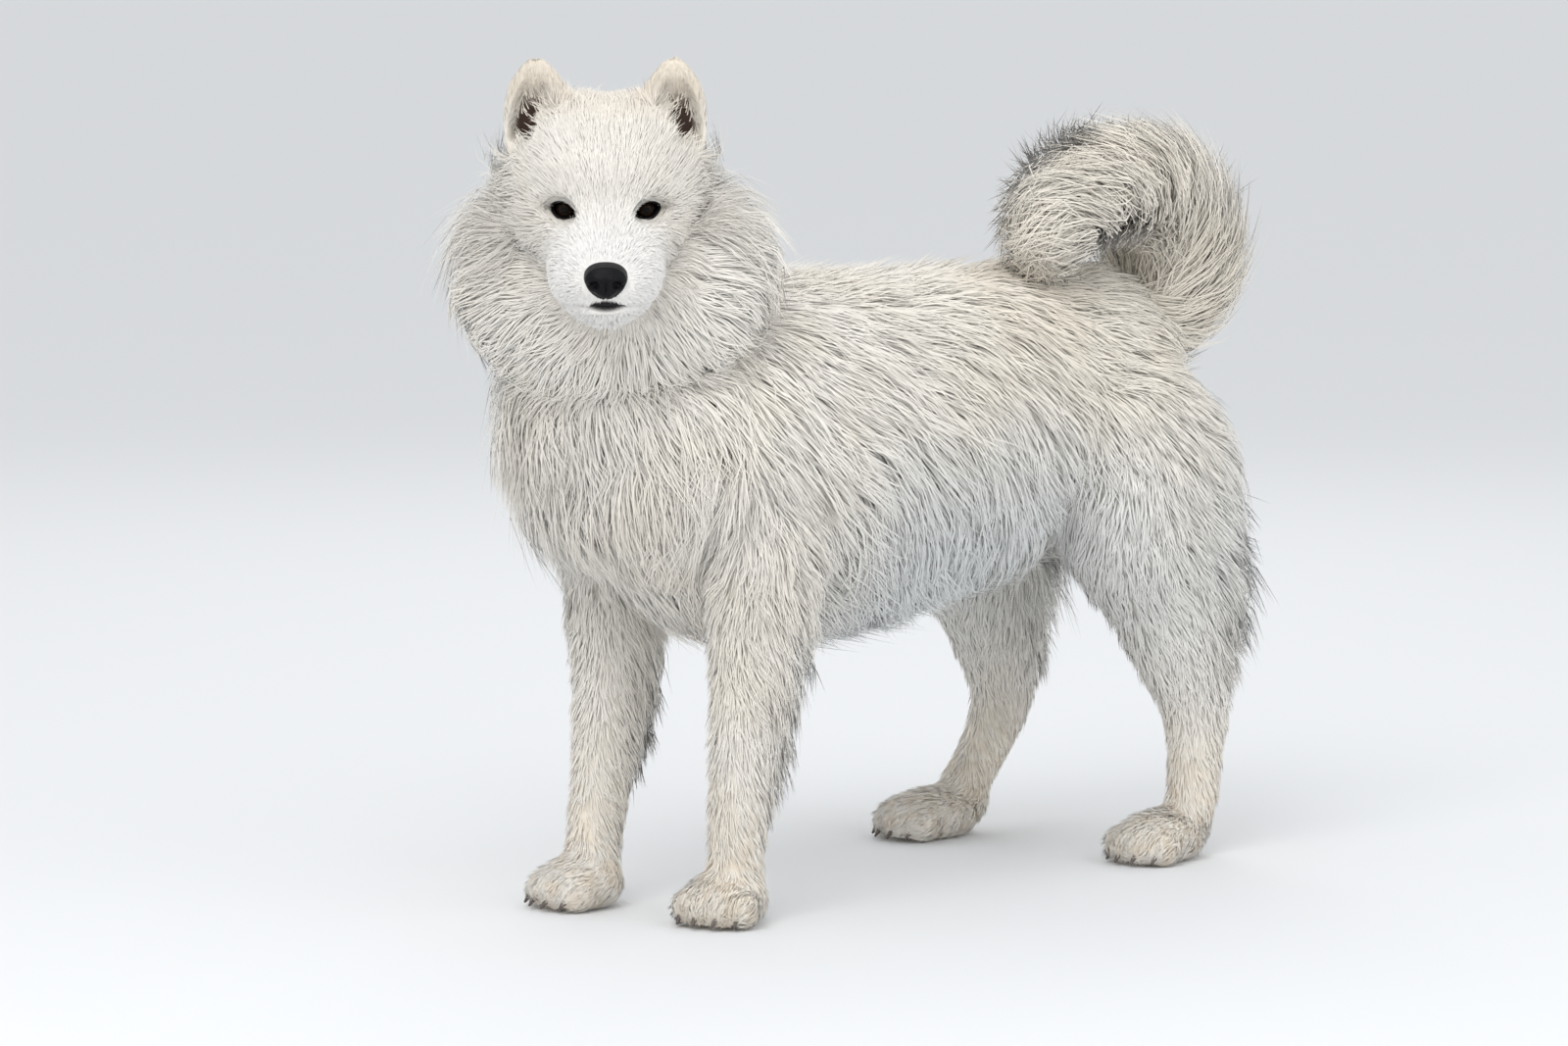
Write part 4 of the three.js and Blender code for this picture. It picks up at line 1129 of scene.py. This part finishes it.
# Coat pieces, each small enough: by region, then in turn from the chest to the rump
regions = {
    "face": ["head", "jaw"], "ears": ["ear"], "ruff": ["ruff"], "chest": ["neck"], "body": ["torso"],
    "tail": ["tail"], "forelegs": ["foreleg"], "hindlegs": ["hindleg"], "feet": ["paw"],
}
triangleTotal = 0
for region, parts in regions.items():
    ids = np.where(np.isin(kindRoot, [kinds.index(p) for p in parts]))[0]
    ids = ids[np.argsort(root[ids, 1])]
    cuts = max(1, math.ceil(np.where(fine[ids], 6, 12).sum() / budget["perPiece"]))
    for n, some in enumerate(np.array_split(ids, cuts)):
        piece = coatPiece(f"coat_{region}_{n + 1}", some, coatMaterial)
        triangleTotal += len(piece.data.polygons)
        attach(piece, "root")
print("coat triangles", triangleTotal)


# Eyes, nose, claws and collar

def smoothPiece(name, points, faces, material, replaced=()):
    made = meshObject(name, points, faces)
    mendMesh(made.data, 1e-7)
    made.data.polygons.foreach_set("use_smooth", np.ones(len(made.data.polygons), bool))
    made.data.materials.append(material)
    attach(made, "root")
    if replaced:
        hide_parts(*replaced)
    return made


irisSettings = dict(
    black=(0.002, 0.002, 0.002, 1), brown=(0.014, 0.007, 0.004, 1), inward=6, swell=0.09,
)
eyeMaterial, tree, shader = newMaterial("dark brown eye", {
    "Roughness": 0.12, "Specular IOR Level": 0.06, "Coat Weight": 0.1, "Coat Roughness": 0.03,
})
coloured = mixColor(tree, valueOf(tree, "iris"), irisSettings["black"], irisSettings["brown"])
tree.links.new(coloured, shader.inputs["Base Color"])
eyeRows, eyeSides = 33, 48
for name, side in (("left", -1), ("right", 1)):
    v, u = np.meshgrid(np.linspace(0, math.pi, eyeRows), wholeTurn(eyeSides), indexing="ij")
    ball = np.stack([np.sin(v) * np.cos(u), np.cos(v), np.sin(v) * np.sin(u)], -1).reshape(-1, 3)
    bulge = np.exp(-((np.hypot(ball[:, 0], ball[:, 2]) / 0.45) ** 4)) * (ball[:, 1] > 0)
    points = ball * eyeRadius * 0.985 * (1 + irisSettings["swell"] * bulge)[:, None]
    aim = math.radians(-side * irisSettings["inward"])
    points = points @ np.array(Matrix.Rotation(aim, 3, "Z")).T
    socket = np.array([side * eyeApart, -eyeDepth, 0])
    eye = smoothPiece(
        f"eye_visual_{name}", toRow(toBody(points + socket)), ringFaces(eyeRows, eyeSides, flip=True),
        eyeMaterial, [f"eye_{name}"],
    )
    facing = unit(turnOut([[-math.sin(aim), math.cos(aim), 0]]))[0]
    cosine = unit(coordsOf(eye.data) - toRow(toBody([socket]))[0]) @ facing
    addLayer(eye.data, "iris", smooth(0.80, 0.86, cosine) * smooth(0.975, 0.95, cosine))

noseMaterial, tree, shader = newMaterial("nose leather", {
    "Roughness": 0.45, "Base Color": (0.004, 0.004, 0.005, 1), "Coat Weight": 0.03,
    "Coat Roughness": 0.25, "Specular IOR Level": 0.12,
})
cells = tree.nodes.new("ShaderNodeTexVoronoi")
cells.inputs["Scale"].default_value = 900
tree.links.new(objectPlace(tree), cells.inputs["Vector"])
bump = tree.nodes.new("ShaderNodeBump")
bump.inputs["Strength"].default_value = 0.35
bump.inputs["Distance"].default_value = 0.0006
tree.links.new(cells.outputs["Distance"], bump.inputs["Height"])
tree.links.new(bump.outputs[0], shader.inputs["Normal"])
noseSettings = dict(
    rows=60, sides=72, domeRows=15, tip=(0, 101.5, -43),
    hole=6.5, slit=3.2, rim=0.9, cleft=1.2, narrow=0.34,
)


# Two nostrils with a slit and a rim each, a narrower lower half and a cleft down the middle
def shapeNose(points):
    p = points.copy()
    for side in (1, -1):
        x, z = p[:, 0] - side * 8.6, p[:, 2] + 42
        hole = np.exp(-(np.hypot(x / 3.6, z / 3.2) ** 2)) * smooth(86, 92, p[:, 1])
        slit = np.exp(-(((x - side * 4.5) / 3.8) ** 2 + ((z + 2.0) / 1.5) ** 2))
        slit *= smooth(82, 90, p[:, 1])
        rim = np.exp(-(((np.hypot(x, z) - 6.0) / 2.2) ** 2)) * smooth(86, 92, points[:, 1])
        p[:, 1] -= hole * noseSettings["hole"] + slit * noseSettings["slit"]
        p[:, 1] += rim * noseSettings["rim"]
    p[:, 0] *= 1.06 - noseSettings["narrow"] * smooth(-38, -58, points[:, 2])
    cleft = np.exp(-((points[:, 0] / 1.0) ** 2)) * noseSettings["cleft"]
    p[:, 1] -= cleft * smooth(86, 94, points[:, 1]) * smooth(-36, -42, points[:, 2])
    return p


# The nose's loft, ended by a dome of rings
noseRows, noseSides = noseSettings["rows"], noseSettings["sides"]
rows = list(noseLoft.rings(0, noseRows, noseSides)[2])
rim = noseLoft.points(np.full(noseSides, 1.0), wholeTurn(noseSides), 0)
tip = np.array(noseSettings["tip"])
for k in range(1, noseSettings["domeRows"] + 1):
    turn = k / (noseSettings["domeRows"] + 1) * math.pi / 2
    ring = tip + (rim - tip) * math.cos(turn)
    ring[:, 1] = rim[:, 1] + (tip[1] - rim[:, 1]) * math.sin(turn)
    rows.append(ring)
nosePoints = np.vstack([*rows, noseLoft.ends(0)[0], tip])
smoothPiece(
    "nose_leather", toRow(toBody(shapeNose(nosePoints))), tubeFaces(len(rows), noseSides),
    noseMaterial, ["nose"],
)

clawMaterial, tree, shader = newMaterial("dark horn", {
    "Roughness": 0.35, "Base Color": (0.10, 0.08, 0.07, 1),
})
clawPoints, clawFaces = [], []
for placePaw, x, y in clawPlaces:
    claw = Loft([
        [(x, y - 9, 14), (3, 3, 3), (0, 0, 0)], [(x, y - 16, 9.5), (2.5, 2.5, 2.5), (0, 0, 0)],
        [(x, y - 21, 4), (1, 1, 1), (0, 0, 0)],
    ])
    points, faces = loftMesh(claw, 0, 10, 12, placePaw)
    clawFaces += [tuple(i + sum(len(c) for c in clawPoints) for i in f) for f in faces]
    clawPoints.append(points)
smoothPiece("claws", toRow(np.vstack(clawPoints)), clawFaces, clawMaterial)

# The collar's outline, as places along the neck and millimetres out from its skin
collarSettings = dict(
    sides=96, share=0.41,
    outline=((0.44, 0.0), (0.44, 2.0), (0.455, 2.5), (0.485, 2.5), (0.5, 2.0), (0.5, 0.0)),
)
collarMaterial, tree, shader = newMaterial("collar leather", {
    "Roughness": 0.5, "Base Color": (0.05, 0.035, 0.026, 1),
})
collarSides, collarRows = collarSettings["sides"], []
for t, grow in collarSettings["outline"]:
    inner = neck.points(np.full(collarSides, t), wholeTurn(collarSides), collarSettings["share"])
    collarRows.append(inner + unit(inner - catmull(neck.centre, [t])[0]) * grow)
smoothPiece(
    "collar_band", toRow(np.vstack(collarRows)), ringFaces(len(collarRows), collarSides, closed=True),
    collarMaterial, ["collar"],
)
print("small pieces ready")


# Stage, light and camera
stageSettings = dict(
    floor=(0.80, 0.81, 0.82, 1), reach=180, world=(0.97, 0.985, 1.0, 1), worldStrength=0.85,
    key=56, fill=20, rim=16,
)
floorMaterial, tree, shader = newMaterial("pale floor", {
    "Roughness": 0.9, "Base Color": stageSettings["floor"],
})
half = stageSettings["reach"]
floor = meshObject(
    "floor", [(-half, -half, 0), (half, -half, 0), (half, half, 0), (-half, half, 0)], [(0, 1, 2, 3)],
)
floor.data.materials.append(floorMaterial)

scene = bpy.context.scene
world = bpy.data.worlds.new("studio")
scene.world = world
world.use_nodes = True
background = world.node_tree.nodes["Background"]
background.inputs[0].default_value = stageSettings["world"]
background.inputs[1].default_value = stageSettings["worldStrength"]


def softLight(name, at, aim, size, power, colour=(1, 1, 1)):
    data = bpy.data.lights.new(name, "AREA")
    data.size, data.energy, data.color = size, power, colour
    made = bpy.data.objects.new(name, data)
    scene.collection.objects.link(made)
    made.location = at
    made.rotation_mode = "QUATERNION"
    made.rotation_quaternion = (Vector(aim) - Vector(at)).to_track_quat("-Z", "Y")


softLight("key", (1.2, -2.4, 3.2), (0, 0, 0.4), 2.4, stageSettings["key"])
softLight("fill", (3.2, 0.4, 1.9), (0, 0, 0.4), 2.6, stageSettings["fill"], (0.95, 0.97, 1))
softLight("rim", (-2.2, 2.2, 2.8), (0, 0, 0.5), 2.0, stageSettings["rim"])

scene.view_settings.view_transform = "Standard"
# focal is in pixels of the frame, and pixel is where the anchor on the floor shows
cameraPlan = dict(
    azimuth=46.0, pitch=5.86, focal=5750.0, distance=5.0, anchor=(0.085, -0.27, 0.0), pixel=(738, 942),
    frame=(1600, 1067), sensor=36, farthest=500,
)
azimuth, pitch = math.radians(cameraPlan["azimuth"]), math.radians(cameraPlan["pitch"])
rightward = np.array([math.cos(azimuth), math.sin(azimuth), 0])
forward = np.array([
    -math.sin(azimuth) * math.cos(pitch), math.cos(azimuth) * math.cos(pitch), -math.sin(pitch),
])
upward = np.cross(rightward, forward)
offX, offY = (
    (cameraPlan["pixel"][i] - cameraPlan["frame"][i] / 2) / cameraPlan["focal"] * cameraPlan["distance"]
    for i in (0, 1)
)
anchor = np.array(cameraPlan["anchor"]) + shift
eyePoint = anchor - forward * cameraPlan["distance"] - rightward * offX + upward * offY
lens = bpy.data.cameras.new("camera")
lens.sensor_width = cameraPlan["sensor"]
lens.lens = cameraPlan["focal"] / cameraPlan["frame"][0] * cameraPlan["sensor"]
lens.clip_end = cameraPlan["farthest"]
camera = bpy.data.objects.new("camera", lens)
scene.collection.objects.link(camera)
camera.rotation_mode = "QUATERNION"
camera.location = Vector(eyePoint)
camera.rotation_quaternion = Matrix([rightward, upward, -forward]).transposed().to_quaternion()
scene.camera = camera
